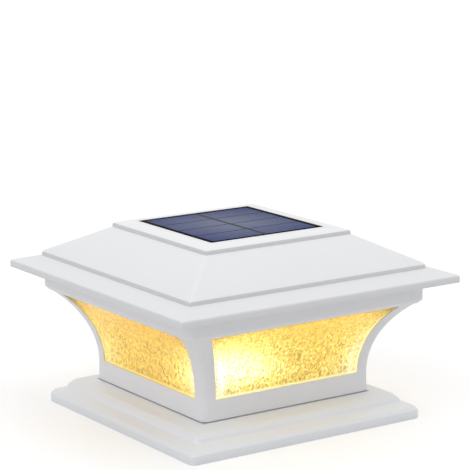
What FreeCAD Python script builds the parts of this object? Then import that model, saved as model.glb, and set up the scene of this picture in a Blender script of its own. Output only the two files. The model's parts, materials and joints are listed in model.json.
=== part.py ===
"""Deck post cap light: a white lantern on a stepped base that drops over a square post.

Frame: millimetres, +Z up, origin at the middle of the base's lower rim.  The front faces -Y.
Every size is a cell of the sheet "Sizes"; each object below is bound to those cells.
"""
import FreeCAD, Part
import Sketcher
import math
import os

Vector = FreeCAD.Vector
Rotation = FreeCAD.Rotation

doc = FreeCAD.newDocument("DeckPostCapLight")
sheet = doc.addObject("Spreadsheet::Sheet", "Sizes")

SIZES = {
    # post and base
    "post_half": 70.0,              # nominal 6x6 post, 140 mm square
    "post_clearance": 1.0,
    "socket_depth": 13.5,
    "socket_corner": 2.0,
    "deck_wall": 3.0,
    "deck_opening_inset": 14.0,     # body face to the opening in the deck
    "deck_opening_corner": 6.0,
    "skirt_width": 16.6,            # socket wall to the outer face of the base
    "skirt_height": 7.3,
    "ledge_width": 8.2,
    "ledge_rise": 2.9,
    "riser_lean": 1.0,
    "riser_height": 4.8,
    "base_corner": 4.0,
    "base_edge_round": 1.8,
    "riser_edge_round": 2.6,
    "channel_depth": 5.0,           # hollow under the ledge
    "channel_wall": 2.5,
    "post_screw_inset": 10.0,       # body face to the screw holes of the deck
    "post_screw_bore": 2.3,
    "post_screw_head": 4.4,
    "seat_gap": 0.6,
    "seat_inset": 1.0,
    "seat_corner": 3.5,
    "collar_gap": 0.4,
    "collar_wall": 2.4,
    "collar_height": 5.0,
    "collar_corner": 3.0,
    # lantern body
    "body_half": 64.0,
    "body_wall": 2.6,
    "body_corner": 4.5,
    "band_height": 12.4,
    "cove_radius": 60.0,
    "cove_sweep": 50.8,             # degrees of arc from the band to the moulding
    "moulding_lip": 1.3,
    "moulding_lip_rise": 0.4,
    "moulding_bevel": 1.9,
    "moulding_bevel_rise": 2.2,
    "moulding_height": 11.8,
    "moulding_wall": 2.6,
    "flange_thickness": 2.4,
    "flange_width": 19.3,
    "flange_corner": 4.0,
    "block_size": 14.0,             # screw blocks in the four lower corners
    "block_height": 5.8,
    "block_bury": 2.1,              # body face to the block's buried sides
    "block_cover": 1.2,             # left above the blind bore of a block
    "rib_width": 9.5,               # corner rib beside each window, at the band
    "window_side_extra": 10.0,      # radius of the window's sides beyond the cove's
    "window_sill": 0.7,
    "window_head": 0.3,
    "pane_recess": 1.3,
    "pane_thickness": 1.9,
    "pane_overlap": 2.2,
    "pane_clearance": 0.15,
    "rebate_recess": 1.2,
    "rebate_room": 1.5,             # rebate behind the pane
    "pane_stock_margin": 4.0,       # degrees of arc past the cove, trimmed by the outline
    # roof
    "step_margin": 0.4,             # roof step outside the moulding
    "brim_overhang": 15.3,
    "brim_edge": 4.5,
    "brim_rise": 4.1,
    "brim_corner": 1.5,
    "brim_edge_round": 0.7,
    "brim_relief_depth": 2.0,
    "brim_relief_wall": 2.6,
    "brim_relief_corner": 1.0,
    "brim_relief_inner_corner": 3.0,
    "step_height": 2.7,
    "step_corner": 2.2,
    "step_edge_round": 0.9,
    "roof_rise": 17.8,
    "plateau_margin": 12.6,         # panel edge to the edge of the plateau
    "plateau_height": 2.7,
    "plateau_corner": 1.6,
    "plateau_edge_round": 0.8,
    "plateau_slope": 1.0,
    "lip_width": 1.8,
    "lip_rise": 0.6,
    "lip_taper": 0.4,
    "panel_half": 43.0,
    "panel_clearance": 0.2,
    "panel_corner": 0.8,
    "pocket_depth": 4.0,
    "lead_hole": 6.0,
    "roof_inner_wall": 7.3,         # moulding face to the roof cavity
    "roof_skin": 2.0,
    "slope_skin": 2.6,              # measured upwards
    "cavity_corner": 2.0,
    "roof_boss": 4.0,
    "roof_boss_cover": 1.0,
    "roof_screw_inset": 12.3,
    "roof_screw_shank": 1.45,
    "roof_screw_bore": 1.55,
    "roof_screw_head": 3.0,
    "roof_screw_head_height": 2.2,
    "roof_screw_length": 12.0,
    "roof_screw_tip_room": 0.6,
    "roof_seal_inset": 3.3,
    "roof_seal_width": 1.5,
    "roof_seal_depth": 1.4,
    "roof_seal_corner": 2.5,
    "roof_seal_inner_corner": 1.5,
    # solar panel, from the bottom of its pocket upwards
    "panel_seal_thickness": 0.6,
    "panel_seal_width": 5.0,
    "backing_thickness": 1.2,
    "cell_thickness": 0.3,
    "glass_thickness": 1.7,
    "cell_border": 3.0,
    "cell_column_gap": 2.0,
    "cell_row_gap": 0.8,
    # tray with the battery box
    "tray_inset": 6.0,              # body face to the tray's edge
    "tray_lift": 0.1,
    "tray_floor": 1.5,
    "tray_rim": 1.6,
    "tray_rim_height": 2.6,
    "tray_corner": 2.0,
    "tray_inner_corner": 1.0,
    "pillar_radius": 3.2,
    "pillar_inset": 9.4,
    "pillar_gap": 0.1,
    "tray_screw_shank": 1.3,
    "tray_screw_bore": 1.4,
    "tray_screw_head": 2.3,
    "tray_screw_head_height": 1.6,
    "tray_screw_length": 7.5,
    "tray_screw_sink": 0.2,
    "screw_recess_gap": 0.1,
    "cell_diameter": 10.5,          # AAA cell
    "cell_length": 44.5,
    "cell_play": 0.3,
    "button_radius": 2.7,
    "button_height": 1.0,
    "contact_sheet": 0.4,
    "contact_half": 4.4,
    "spring_wire": 0.35,            # radius of the wire
    "spring_coil": 3.0,
    "spring_turns": 3.5,
    "spring_play": 0.1,
    "contact_room": 4.0,            # spring at one end of the cell
    "box_wall": 1.3,
    "box_ceiling": 1.1,
    "door_lift": 0.9,               # door above the underside of the deck
    "door_thickness": 1.2,
    "door_gap": 0.15,
    "door_knuckle": 1.5,
    "door_pin": 0.75,
    "door_pin_bore": 0.85,
    "door_lug_width": 3.0,
    "door_lug_gap": 0.3,
    "knuckle_start": 20.0,          # to the left of the middle
    "knuckle_length": 36.0,
    "hinge_gap": 0.25,
    "hinge_drop": 0.3,
    "reflector_room": 0.2,          # battery box to the reflector plate
    "reflector_thickness": 1.2,
    "reflector_gap": 0.6,
    "reflector_corner": 1.6,
    # electronics
    "board_length": 40.0,
    "board_width": 24.0,
    "board_thickness": 1.2,
    "board_offset": 29.0,
    "board_standoff": 2.3,
    "board_screw_radius": 0.9,
    "board_screw_head": 1.8,
    "board_screw_head_height": 1.2,
    "board_screw_end_room": 0.3,
    "board_hole_gap": 0.1,
    "standoff_radius": 2.4,
    "standoff_inset": 3.0,
    "standoff_bore_gap": 0.05,
    "chip_length": 5.0,
    "chip_width": 4.0,
    "chip_height": 1.5,
    "chip_shift": 4.0,
    "choke_radius": 3.0,
    "choke_height": 4.6,
    "choke_shift": 8.0,
    "choke_back": 5.0,
    "capacitor_radius": 2.5,
    "capacitor_height": 4.9,
    "capacitor_shift": 8.0,
    "capacitor_back": 6.0,
    "switch_length": 10.0,
    "switch_width": 4.4,
    "switch_travel": 3.0,
    "switch_stem": 2.0,
    "switch_gap": 0.25,
    "switch_foot_gap": 0.15,
    "switch_track_depth": 1.2,
    "switch_stem_reach": 0.9,
    "switch_knob_length": 4.0,
    "switch_knob_width": 3.2,
    "switch_knob_height": 1.1,
    "switch_knob_gap": 0.1,
    "led_board_radius": 12.0,
    "led_board_thickness": 1.0,
    "led_size": 2.8,
    "led_height": 0.9,
    "led_circle": 7.0,
    "led_count": 6,
    "diffuser_radius": 21.0,
    "diffuser_wall": 1.4,
    "diffuser_foot": 4.0,
    "diffuser_bulge": 6.0,          # radius of the dome's ball beyond its foot
    # leads
    "lead_radius": 0.65,
    "lead_spacing": 3.2,
    "lead_inset": 17.0,             # body face to the corner where the panel leads run down
    "lead_drop": 10.0,
    "lead_slope": 7.0,
    "lead_rise": 4.0,
    "lead_opening": 3.5,
    "lead_elbow_x": 7.0,
    "lead_elbow_y": 4.5,
    "lead_elbow_rise": 3.0,
    "lead_end_inset": 5.0,
    "lead_end_back": 6.0,
    "lead_end_rise": 3.2,
    "led_lead_y": 18.3,
    "led_lead_radius": 0.5,
    "led_lead_shift": 1.5,
    "led_lead_rise": 2.2,
    "led_lead_end": 1.2,
    "led_opening_x": 2.6,
    "led_opening_y": 1.0,
}
for row, (alias, number) in enumerate(SIZES.items(), start=1):
    sheet.set(f"A{row}", alias.replace("_", " "))
    sheet.set(f"B{row}", str(number))
    sheet.setAlias(f"B{row}", alias)
doc.recompute()


def cell(name):
    """Expression that reads one size."""
    if name not in SIZES:
        raise KeyError(name)
    return f"Sizes.{name}"


def total(*terms):
    """Expression for a sum; a term that starts with '-' is subtracted, a bare word is a size."""
    text = ""
    for term in terms:
        term = str(term)
        sign = "-" if term.startswith("-") else "+"
        word = term.lstrip("-")
        text += f" {sign} {cell(word) if word in SIZES else word}"
    return f"({text.strip().lstrip('+').strip()})"


def number(expression):
    """Present value of an expression."""
    result = sheet.evalExpression(str(expression))
    return float(getattr(result, "Value", result))


# ---- levels (Z) and half widths that several pieces share --------------------------------
DECK_TOP = total("socket_depth", "deck_wall")
BODY_FOOT = total(DECK_TOP, "seat_gap")
COVE_FOOT = total(BODY_FOOT, "band_height")
SWEEP = f"{cell('cove_sweep')} * 1 deg"
COVE_HEAD = total(COVE_FOOT, f"{cell('cove_radius')} * sin({SWEEP})")
LIP_Z = total(COVE_HEAD, "moulding_lip_rise")
MOULDING_FOOT = total(LIP_Z, "moulding_bevel_rise")
BODY_TOP = total(MOULDING_FOOT, "moulding_height")
BRIM_TOP = total(BODY_TOP, "brim_edge")
STEP_FOOT = total(BRIM_TOP, "brim_rise")
STEP_TOP = total(STEP_FOOT, "step_height")
PLATEAU_FOOT = total(STEP_TOP, "roof_rise")
PLATEAU_TOP = total(PLATEAU_FOOT, "plateau_height")
LIP_FOOT = total(PLATEAU_TOP, "plateau_slope")
ROOF_TOP = total(LIP_FOOT, "lip_rise")
POCKET_FLOOR = total(ROOF_TOP, "-pocket_depth")

COVE_HALF = total("body_half", f"{cell('cove_radius')} * (1 - cos({SWEEP}))")
MOULDING_HALF = total(COVE_HALF, "moulding_lip", "moulding_bevel")
STEP_HALF = total(MOULDING_HALF, "step_margin")
BRIM_HALF = total(STEP_HALF, "brim_overhang")
PLATEAU_HALF = total("panel_half", "plateau_margin")
POCKET_HALF = total("panel_half", "panel_clearance")
LIP_HALF = total(POCKET_HALF, "lip_width")
SOCKET_HALF = total("post_half", "post_clearance")
BASE_HALF = total(SOCKET_HALF, "skirt_width")
LEDGE_HALF = total(BASE_HALF, "-ledge_width")
RISER_HALF = total(LEDGE_HALF, "-riser_lean")
BODY_INNER = total("body_half", "-body_wall")
COLLAR_HALF = total(BODY_INNER, "-collar_gap")
COLLAR_INNER = total(COLLAR_HALF, "-collar_wall")
OPENING_HALF = total("body_half", "-deck_opening_inset")
TRAY_HALF = total("body_half", "-tray_inset")
PILLAR_OFFSET = total("body_half", "-pillar_inset")
ROOF_SCREW_OFFSET = total(MOULDING_HALF, "-roof_screw_inset")

TRAY_FOOT = total(BODY_FOOT, "tray_lift")
TRAY_TOP = total(TRAY_FOOT, "tray_floor")
DOOR_FOOT = total("socket_depth", "door_lift")
DOOR_TOP = total(DOOR_FOOT, "door_thickness")
BOX_FOOT = total(DOOR_TOP, "door_gap")
BATTERY_RADIUS = f"({cell('cell_diameter')} / 2)"
BATTERY_Z = total(DOOR_TOP, "cell_play", BATTERY_RADIUS)
BOX_CEILING = total(BATTERY_Z, BATTERY_RADIUS, "cell_play")
BOX_TOP = total(BOX_CEILING, "box_ceiling")
REFLECTOR_FOOT = total(BOX_TOP, "reflector_room")
REFLECTOR_TOP = total(REFLECTOR_FOOT, "reflector_thickness")
BLOCK_FOOT = total(REFLECTOR_FOOT, "-block_height")
SEAL_OUTER = total(MOULDING_HALF, "-roof_seal_inset")
SEAL_INNER = (total(SEAL_OUTER, "-roof_seal_width"), cell("roof_seal_inner_corner"))
CORNERS = [(sx, sy) for sx in ("-1", "1") for sy in ("-1", "1")]


# ---- construction helpers ----------------------------------------------------------------
TURNS = {"z": Rotation(), "x": Rotation(Vector(0, 1, 0), 90)}
# XZ plane (local x = X, local y = Z) and YZ plane (local x = Y, local y = Z)
FRONT_VIEW = FreeCAD.Placement(Vector(), Rotation(Vector(1, 0, 0), 90))
SIDE_VIEW = FreeCAD.Placement(Vector(), Rotation(Vector(0, 0, 1), 90) * Rotation(Vector(1, 0, 0), 90))
nodes = []


def new_body(name):
    body = doc.addObject("PartDesign::Body", name)
    body.Label = name
    return body


def origin_plane(body, role):
    return next(item for item in body.Origin.OriginFeatures if item.Role == role)


def bound(sketch, kind, *args, size):
    """Add a dimensional constraint and bind it to an expression."""
    index = sketch.addConstraint(Sketcher.Constraint(kind, *args, number(size)))
    sketch.setExpression(f"Constraints[{index}]", size)


def outline_square(sketch, half_x, half_y, corner):
    """Rounded rectangle about the sketch's origin."""
    a, b, r = number(half_x), number(half_y), number(corner)
    centres = [(a - r, -b + r, -90), (a - r, b - r, 0), (-a + r, b - r, 90), (-a + r, -b + r, 180)]
    ends = [((-a + r, -b), (a - r, -b)), ((a, -b + r), (a, b - r)),
            ((a - r, b), (-a + r, b)), ((-a, b - r), (-a, -b + r))]
    first = sketch.GeometryCount
    for start, end in ends:
        sketch.addGeometry(Part.LineSegment(Vector(*start, 0), Vector(*end, 0)), False)
    for x, y, angle in centres:
        circle = Part.Circle(Vector(x, y, 0), Vector(0, 0, 1), r)
        arc = Part.ArcOfCircle(circle, math.radians(angle), math.radians(angle + 90))
        sketch.addGeometry(arc, False)
    for k in range(4):
        line, arc, following = first + k, first + 4 + k, first + (k + 1) % 4
        sketch.addConstraint(Sketcher.Constraint("Tangent", line, 2, arc, 1))
        sketch.addConstraint(Sketcher.Constraint("Tangent", arc, 2, following, 1))
        sketch.addConstraint(Sketcher.Constraint("Vertical" if k % 2 else "Horizontal", line))
        if k:
            sketch.addConstraint(Sketcher.Constraint("Equal", first + 4, arc))
    bound(sketch, "Radius", first + 4, size=corner)
    bound(sketch, "DistanceX", -1, 1, first + 1, 1, size=half_x)
    bound(sketch, "DistanceX", first + 3, 1, -1, 1, size=half_x)
    bound(sketch, "DistanceY", -1, 1, first + 2, 1, size=half_y)
    bound(sketch, "DistanceY", first, 1, -1, 1, size=half_y)


def square_sketch(body, name, half, corner, height, inner=None, half_y=None):
    """Rounded square at a height, with a second one inside it where inner is (half, corner)."""
    sketch = body.newObject("Sketcher::SketchObject", name)
    sketch.AttachmentSupport = [(origin_plane(body, "XY_Plane"), "")]
    sketch.MapMode = "FlatFace"
    sketch.setExpression("AttachmentOffset.Base.z", height)
    outline_square(sketch, half, half_y or half, corner)
    if inner:
        outline_square(sketch, inner[0], inner[0], inner[1])
    return sketch


def loft(body, name, sections, ruled=True, cut=False):
    """Loft through rounded squares given as (half, corner, height)."""
    sketches = []
    for k, section in enumerate(sections):
        sketches.append(square_sketch(body, f"{name}_section_{k}", *section))
    kind = "PartDesign::SubtractiveLoft" if cut else "PartDesign::AdditiveLoft"
    feature = body.newObject(kind, name)
    feature.Profile = sketches[0]
    feature.Sections = sketches[1:]
    feature.Ruled = ruled
    return feature


def slab(body, name, half, corner, low, high, inner=None, cut=False, half_y=None):
    """Rounded square plate or frame between two heights, added or cut away."""
    sketch = square_sketch(body, f"{name}_outline", half, corner, low, inner, half_y)
    feature = body.newObject("PartDesign::Pocket" if cut else "PartDesign::Pad", name)
    feature.Profile = sketch
    feature.setExpression("Length", total(high, f"-{low}"))
    feature.Reversed = cut
    return feature


def block(body, name, x, y, z, cut=False):
    """Box between pairs of limits, added or cut away."""
    feature = body.newObject("PartDesign::SubtractiveBox" if cut else "PartDesign::AdditiveBox", name)
    for side, axis, (low, high) in (("Length", "x", x), ("Width", "y", y), ("Height", "z", z)):
        feature.setExpression(side, total(high, f"-{total(low)}"))
        feature.setExpression(f"Placement.Base.{axis}", total(low))
    return feature


def rod(body, name, radius, start, length, along="z", cut=False):
    """Cylinder from a start point along +X or +Z, added or cut away."""
    kind = "PartDesign::SubtractiveCylinder" if cut else "PartDesign::AdditiveCylinder"
    feature = body.newObject(kind, name)
    feature.Placement = FreeCAD.Placement(Vector(), TURNS[along])
    feature.setExpression("Radius", radius)
    feature.setExpression("Height", length)
    for axis, value in zip("xyz", start):
        feature.setExpression(f"Placement.Base.{axis}", value)
    return feature


def cone(body, name, low_radius, high_radius, start, length, cut=False):
    """Cone along +Z, added or cut away."""
    feature = body.newObject("PartDesign::SubtractiveCone" if cut else "PartDesign::AdditiveCone", name)
    feature.setExpression("Radius1", low_radius)
    feature.setExpression("Radius2", high_radius)
    feature.setExpression("Height", length)
    for axis, value in zip("xyz", start):
        feature.setExpression(f"Placement.Base.{axis}", value)
    return feature


def eased(sections, reaches):
    """Break chosen corners of a loft's profile: each becomes two sections, a reach to either side."""
    result = []
    for index, section in enumerate(sections):
        if index not in reaches:
            result.append(section)
            continue
        for neighbour in (sections[index - 1], sections[index + 1]):
            width = number(neighbour[0]) - number(section[0])
            rise = number(neighbour[2]) - number(section[2])
            share = number(cell(reaches[index])) / math.hypot(width, rise)
            mixed = tuple(f"({here} * {1 - share:.5f} + {there} * {share:.5f})"
                          for here, there in zip(section, neighbour))
            result.append(mixed)
    return result


def loose_sketch(name, placement):
    sketch = doc.addObject("Sketcher::SketchObject", name)
    sketch.Placement = placement
    return sketch


def extruded(sketch, name, length):
    """Extrusion of a loose sketch, half to each side of it."""
    feature = doc.addObject("Part::Extrusion", name)
    feature.Base = sketch
    feature.DirMode = "Normal"
    feature.Solid = True
    feature.Symmetric = True
    feature.setExpression("LengthFwd", length)
    return feature


def window_outline(sketch, overlap):
    """Window: level sill and head, sides that sweep outwards with the cove."""
    centre_z = total(COVE_FOOT, "window_sill")
    low = total(centre_z, f"-{overlap}")
    high = total(COVE_HEAD, "-window_head", overlap)
    side_radius = total("cove_radius", "window_side_extra")
    radius = total(side_radius, f"-{overlap}")
    centre_x = total("body_half", "-rib_width", side_radius)
    z0, z1, r, zc, xc = (number(item) for item in (low, high, radius, centre_z, centre_x))
    low_angle = math.asin((z0 - zc) / r)
    high_angle = math.asin((z1 - zc) / r)
    low_x = xc - r * math.cos(low_angle)
    high_x = xc - r * math.cos(high_angle)
    sketch.addGeometry(Part.LineSegment(Vector(-low_x, z0, 0), Vector(low_x, z0, 0)), False)
    sketch.addGeometry(Part.LineSegment(Vector(high_x, z1, 0), Vector(-high_x, z1, 0)), False)
    right = Part.Circle(Vector(xc, zc, 0), Vector(0, 0, 1), r)
    left = Part.Circle(Vector(-xc, zc, 0), Vector(0, 0, 1), r)
    sketch.addGeometry(Part.ArcOfCircle(right, math.pi - high_angle, math.pi - low_angle), False)
    sketch.addGeometry(Part.ArcOfCircle(left, low_angle, high_angle), False)
    for line, line_end, arc, arc_end in ((0, 2, 2, 2), (1, 1, 2, 1), (0, 1, 3, 1), (1, 2, 3, 2)):
        sketch.addConstraint(Sketcher.Constraint("Coincident", line, line_end, arc, arc_end))
    for line, height in ((0, low), (1, high)):
        sketch.addConstraint(Sketcher.Constraint("Horizontal", line))
        bound(sketch, "DistanceY", -1, 1, line, 1, size=height)
    for arc in (2, 3):
        bound(sketch, "Radius", arc, size=radius)
        bound(sketch, "DistanceY", -1, 1, arc, 3, size=centre_z)
    bound(sketch, "DistanceX", -1, 1, 2, 3, size=centre_x)
    bound(sketch, "DistanceX", 3, 3, -1, 1, size=centre_x)


def cove_band(sketch, outer_depth, inner_depth):
    """Section of a sheet that follows the front cove, between two depths behind its face."""
    centre_y = total("body_half", "cove_radius")
    low = total(COVE_FOOT, "-pane_overlap", "-pane_overlap")
    span = f"{SWEEP} + {cell('pane_stock_margin')} * 1 deg"
    turn = math.radians(number(total("cove_sweep", "pane_stock_margin")))
    yc, zc, z0 = -number(centre_y), number(COVE_FOOT), number(low)
    radii = [total("cove_radius", depth) for depth in (outer_depth, inner_depth)]
    for radius in radii:
        r = number(radius)
        circle = Part.Circle(Vector(yc, zc, 0), Vector(0, 0, 1), r)
        sketch.addGeometry(Part.ArcOfCircle(circle, 0, turn), False)
        sketch.addGeometry(Part.LineSegment(Vector(yc + r, z0, 0), Vector(yc + r, zc, 0)), False)
    tips = []
    for radius in radii:
        tips.append((yc + number(radius) * math.cos(turn), zc + number(radius) * math.sin(turn)))
    sketch.addGeometry(Part.LineSegment(Vector(*tips[0], 0), Vector(*tips[1], 0)), False)
    feet = [yc + number(radius) for radius in radii]
    sketch.addGeometry(Part.LineSegment(Vector(feet[0], z0, 0), Vector(feet[1], z0, 0)), False)
    for arc, line, end in ((0, 1, 1), (2, 3, 2)):
        sketch.addConstraint(Sketcher.Constraint("Tangent", line, 2, arc, 1))
        sketch.addConstraint(Sketcher.Constraint("Coincident", 4, end, arc, 2))
        sketch.addConstraint(Sketcher.Constraint("Coincident", 5, end, line, 1))
        sketch.addConstraint(Sketcher.Constraint("Vertical", line))
    sketch.addConstraint(Sketcher.Constraint("Coincident", 0, 3, 2, 3))
    sketch.addConstraint(Sketcher.Constraint("Horizontal", 5))
    bound(sketch, "DistanceX", 0, 3, -1, 1, size=centre_y)
    bound(sketch, "DistanceY", -1, 1, 0, 3, size=COVE_FOOT)
    bound(sketch, "DistanceY", -1, 1, 5, 1, size=low)
    bound(sketch, "Radius", 0, size=radii[0])
    bound(sketch, "Radius", 2, size=radii[1])
    for arc in (0, 2):
        index = sketch.addConstraint(Sketcher.Constraint("Angle", arc, turn))
        sketch.setExpression(f"Constraints[{index}]", span)


def cove_sheet(name, side, outer_depth, inner_depth, overlap):
    """Curved sheet behind one window, larger than it by the overlap; side counts quarter turns."""
    section = loose_sketch(f"{name}_section", SIDE_VIEW)
    cove_band(section, outer_depth, inner_depth)
    outline = loose_sketch(f"{name}_outline", FRONT_VIEW)
    window_outline(outline, overlap)
    bar = extruded(section, f"{name}_bar", f"4 * {COVE_HALF}")
    cutter = extruded(outline, f"{name}_cutter", f"4 * {BRIM_HALF}")
    across = (f"-{BRIM_HALF}", BRIM_HALF)
    half_space = part_box(f"{name}_half", across, (across[0], "0"), ("0", ROOF_TOP))
    sheet_part = doc.addObject("Part::MultiCommon", name)
    sheet_part.Shapes = [bar, cutter, half_space]
    sheet_part.Placement = FreeCAD.Placement(Vector(), Rotation(Vector(0, 0, 1), 90 * side))
    return sheet_part


def part_box(name, x, y, z):
    """Box between pairs of limits, as a loose primitive."""
    feature = doc.addObject("Part::Box", name)
    for side, axis, (low, high) in (("Length", "x", x), ("Width", "y", y), ("Height", "z", z)):
        feature.setExpression(side, f"({high}) - ({low})")
        feature.setExpression(f"Placement.Base.{axis}", f"({low})")
    return feature


def part_rod(name, radius, start, length, along="z"):
    """Cylinder from a start point along +X or +Z, as a loose primitive."""
    feature = doc.addObject("Part::Cylinder", name)
    feature.Placement = FreeCAD.Placement(Vector(), TURNS[along])
    feature.setExpression("Radius", radius)
    feature.setExpression("Height", length)
    for axis, value in zip("xyz", start):
        feature.setExpression(f"Placement.Base.{axis}", value)
    return feature


def joined(name, pieces):
    feature = doc.addObject("Part::MultiFuse", name)
    feature.Shapes = pieces
    return feature


def less(name, base, tool):
    feature = doc.addObject("Part::Cut", name)
    feature.Base = base
    feature.Tool = tool
    return feature


def group(name, pieces):
    """Several separate solids under one name."""
    feature = doc.addObject("Part::Compound", name)
    feature.Links = pieces
    return feature


def screw(name, x, y, head_foot, head_radius, head_height, shank_radius, length, upwards=True):
    """Plain headed screw; its shank, of the given length, leaves the head upwards or downwards."""
    head = part_rod(f"{name}_head", head_radius, (x, y, head_foot), head_height)
    foot = total(head_foot, head_height) if upwards else total(head_foot, f"-{length}")
    shank = part_rod(f"{name}_shank", shank_radius, (x, y, foot), length)
    return joined(name, [head, shank])


def bent_lead(name, points, radius):
    """Round wire through points, with an arc at each bend."""
    edges = []
    start = points[0]
    for before, corner, after in zip(points, points[1:], points[2:]):
        back = before - corner
        ahead = after - corner
        half_turn = (math.pi - back.getAngle(ahead)) / 2
        reach = 0.45 * min(back.Length, ahead.Length)
        bend = reach / math.tan(half_turn)
        back.normalize()
        ahead.normalize()
        arc_start = corner + back * reach
        arc_end = corner + ahead * reach
        bisector = (back + ahead).normalize()
        middle = corner + bisector * (math.hypot(reach, bend) - bend)
        edges.append(Part.LineSegment(start, arc_start).toShape())
        edges.append(Part.Arc(arc_start, middle, arc_end).toShape())
        print(f"{name}: bend radius {bend:.2f}")
        start = arc_end
    edges.append(Part.LineSegment(start, points[-1]).toShape())
    path = Part.Wire(edges)
    direction = points[1] - points[0]
    section = Part.Wire([Part.makeCircle(radius, points[0], direction)])
    tube = path.makePipeShell([section], True, False)
    ideal = math.pi * radius ** 2 * path.Length
    print(f"{name}: volume {tube.Volume:.2f}, section by length {ideal:.2f}")
    return tube


def free_shape(name, shape):
    feature = doc.addObject("Part::Feature", name)
    feature.Shape = shape
    feature.Placement = FreeCAD.Placement()
    return feature


def node(feature, name=None):
    """Register a finished sub-part under its own name."""
    feature.Label = name or feature.Name
    nodes.append(feature)
    return feature


# ---- base: stepped skirt over the post, deck, collar that locates the lantern ------------
def make_base_skirt():
    body = new_body("base_skirt")
    ledge_z = total("skirt_height", "ledge_rise")
    riser_z = total(ledge_z, "riser_height")
    corner = cell("base_corner")
    profile = [
        (BASE_HALF, corner, "0"),
        (BASE_HALF, corner, cell("skirt_height")),
        (LEDGE_HALF, corner, ledge_z),
        (RISER_HALF, corner, riser_z),
        (cell("body_half"), corner, DECK_TOP),
    ]
    loft(body, "skirt_block", eased(profile, {1: "base_edge_round", 3: "riser_edge_round"}))
    slab(body, "socket", SOCKET_HALF, cell("socket_corner"), "0", cell("socket_depth"), cut=True)
    channel_outer = total(BASE_HALF, "-channel_wall")
    channel_inner = total(SOCKET_HALF, "channel_wall")
    slab(body, "channel", channel_outer, cell("socket_corner"), "0", cell("channel_depth"),
         inner=(channel_inner, cell("socket_corner")), cut=True)
    seat_half = total("body_half", "-seat_inset")
    hollow = (COLLAR_INNER, cell("socket_corner"))
    slab(body, "seat", seat_half, cell("seat_corner"), DECK_TOP, BODY_FOOT, inner=hollow)
    collar_top = total(DECK_TOP, "collar_height")
    slab(body, "collar", COLLAR_HALF, cell("collar_corner"), DECK_TOP, collar_top, inner=hollow)
    slab(body, "deck_opening", OPENING_HALF, cell("deck_opening_corner"), cell("socket_depth"), DECK_TOP,
         cut=True)
    offset = total("body_half", "-post_screw_inset")
    for index, (sx, sy) in enumerate(CORNERS):
        place = (f"{sx} * {offset}", f"{sy} * {offset}")
        rod(body, f"post_hole_{index}", cell("post_screw_bore"), (*place, cell("socket_depth")),
            cell("deck_wall"), cut=True)
        sink_foot = total(DECK_TOP, "post_screw_bore", "-post_screw_head")
        cone(body, f"post_sink_{index}", cell("post_screw_bore"), cell("post_screw_head"),
             (*place, sink_foot), total("post_screw_head", "-post_screw_bore"), cut=True)
    return node(body)


# ---- lantern body: band, cove, moulding, flange, four windows -----------------------------
COVE_STEPS = 5


def cove_sections(extra_radius, corner):
    """Rounded squares along the cove; extra_radius moves them inside the wall."""
    sections = []
    for k in range(COVE_STEPS + 1):
        angle = f"{k} / {COVE_STEPS} * {SWEEP}"
        radius = total("cove_radius", extra_radius)
        half = total("body_half", "cove_radius", f"-{radius} * cos({angle})")
        sections.append((half, corner, total(COVE_FOOT, f"{radius} * sin({angle})")))
    return sections


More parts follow.
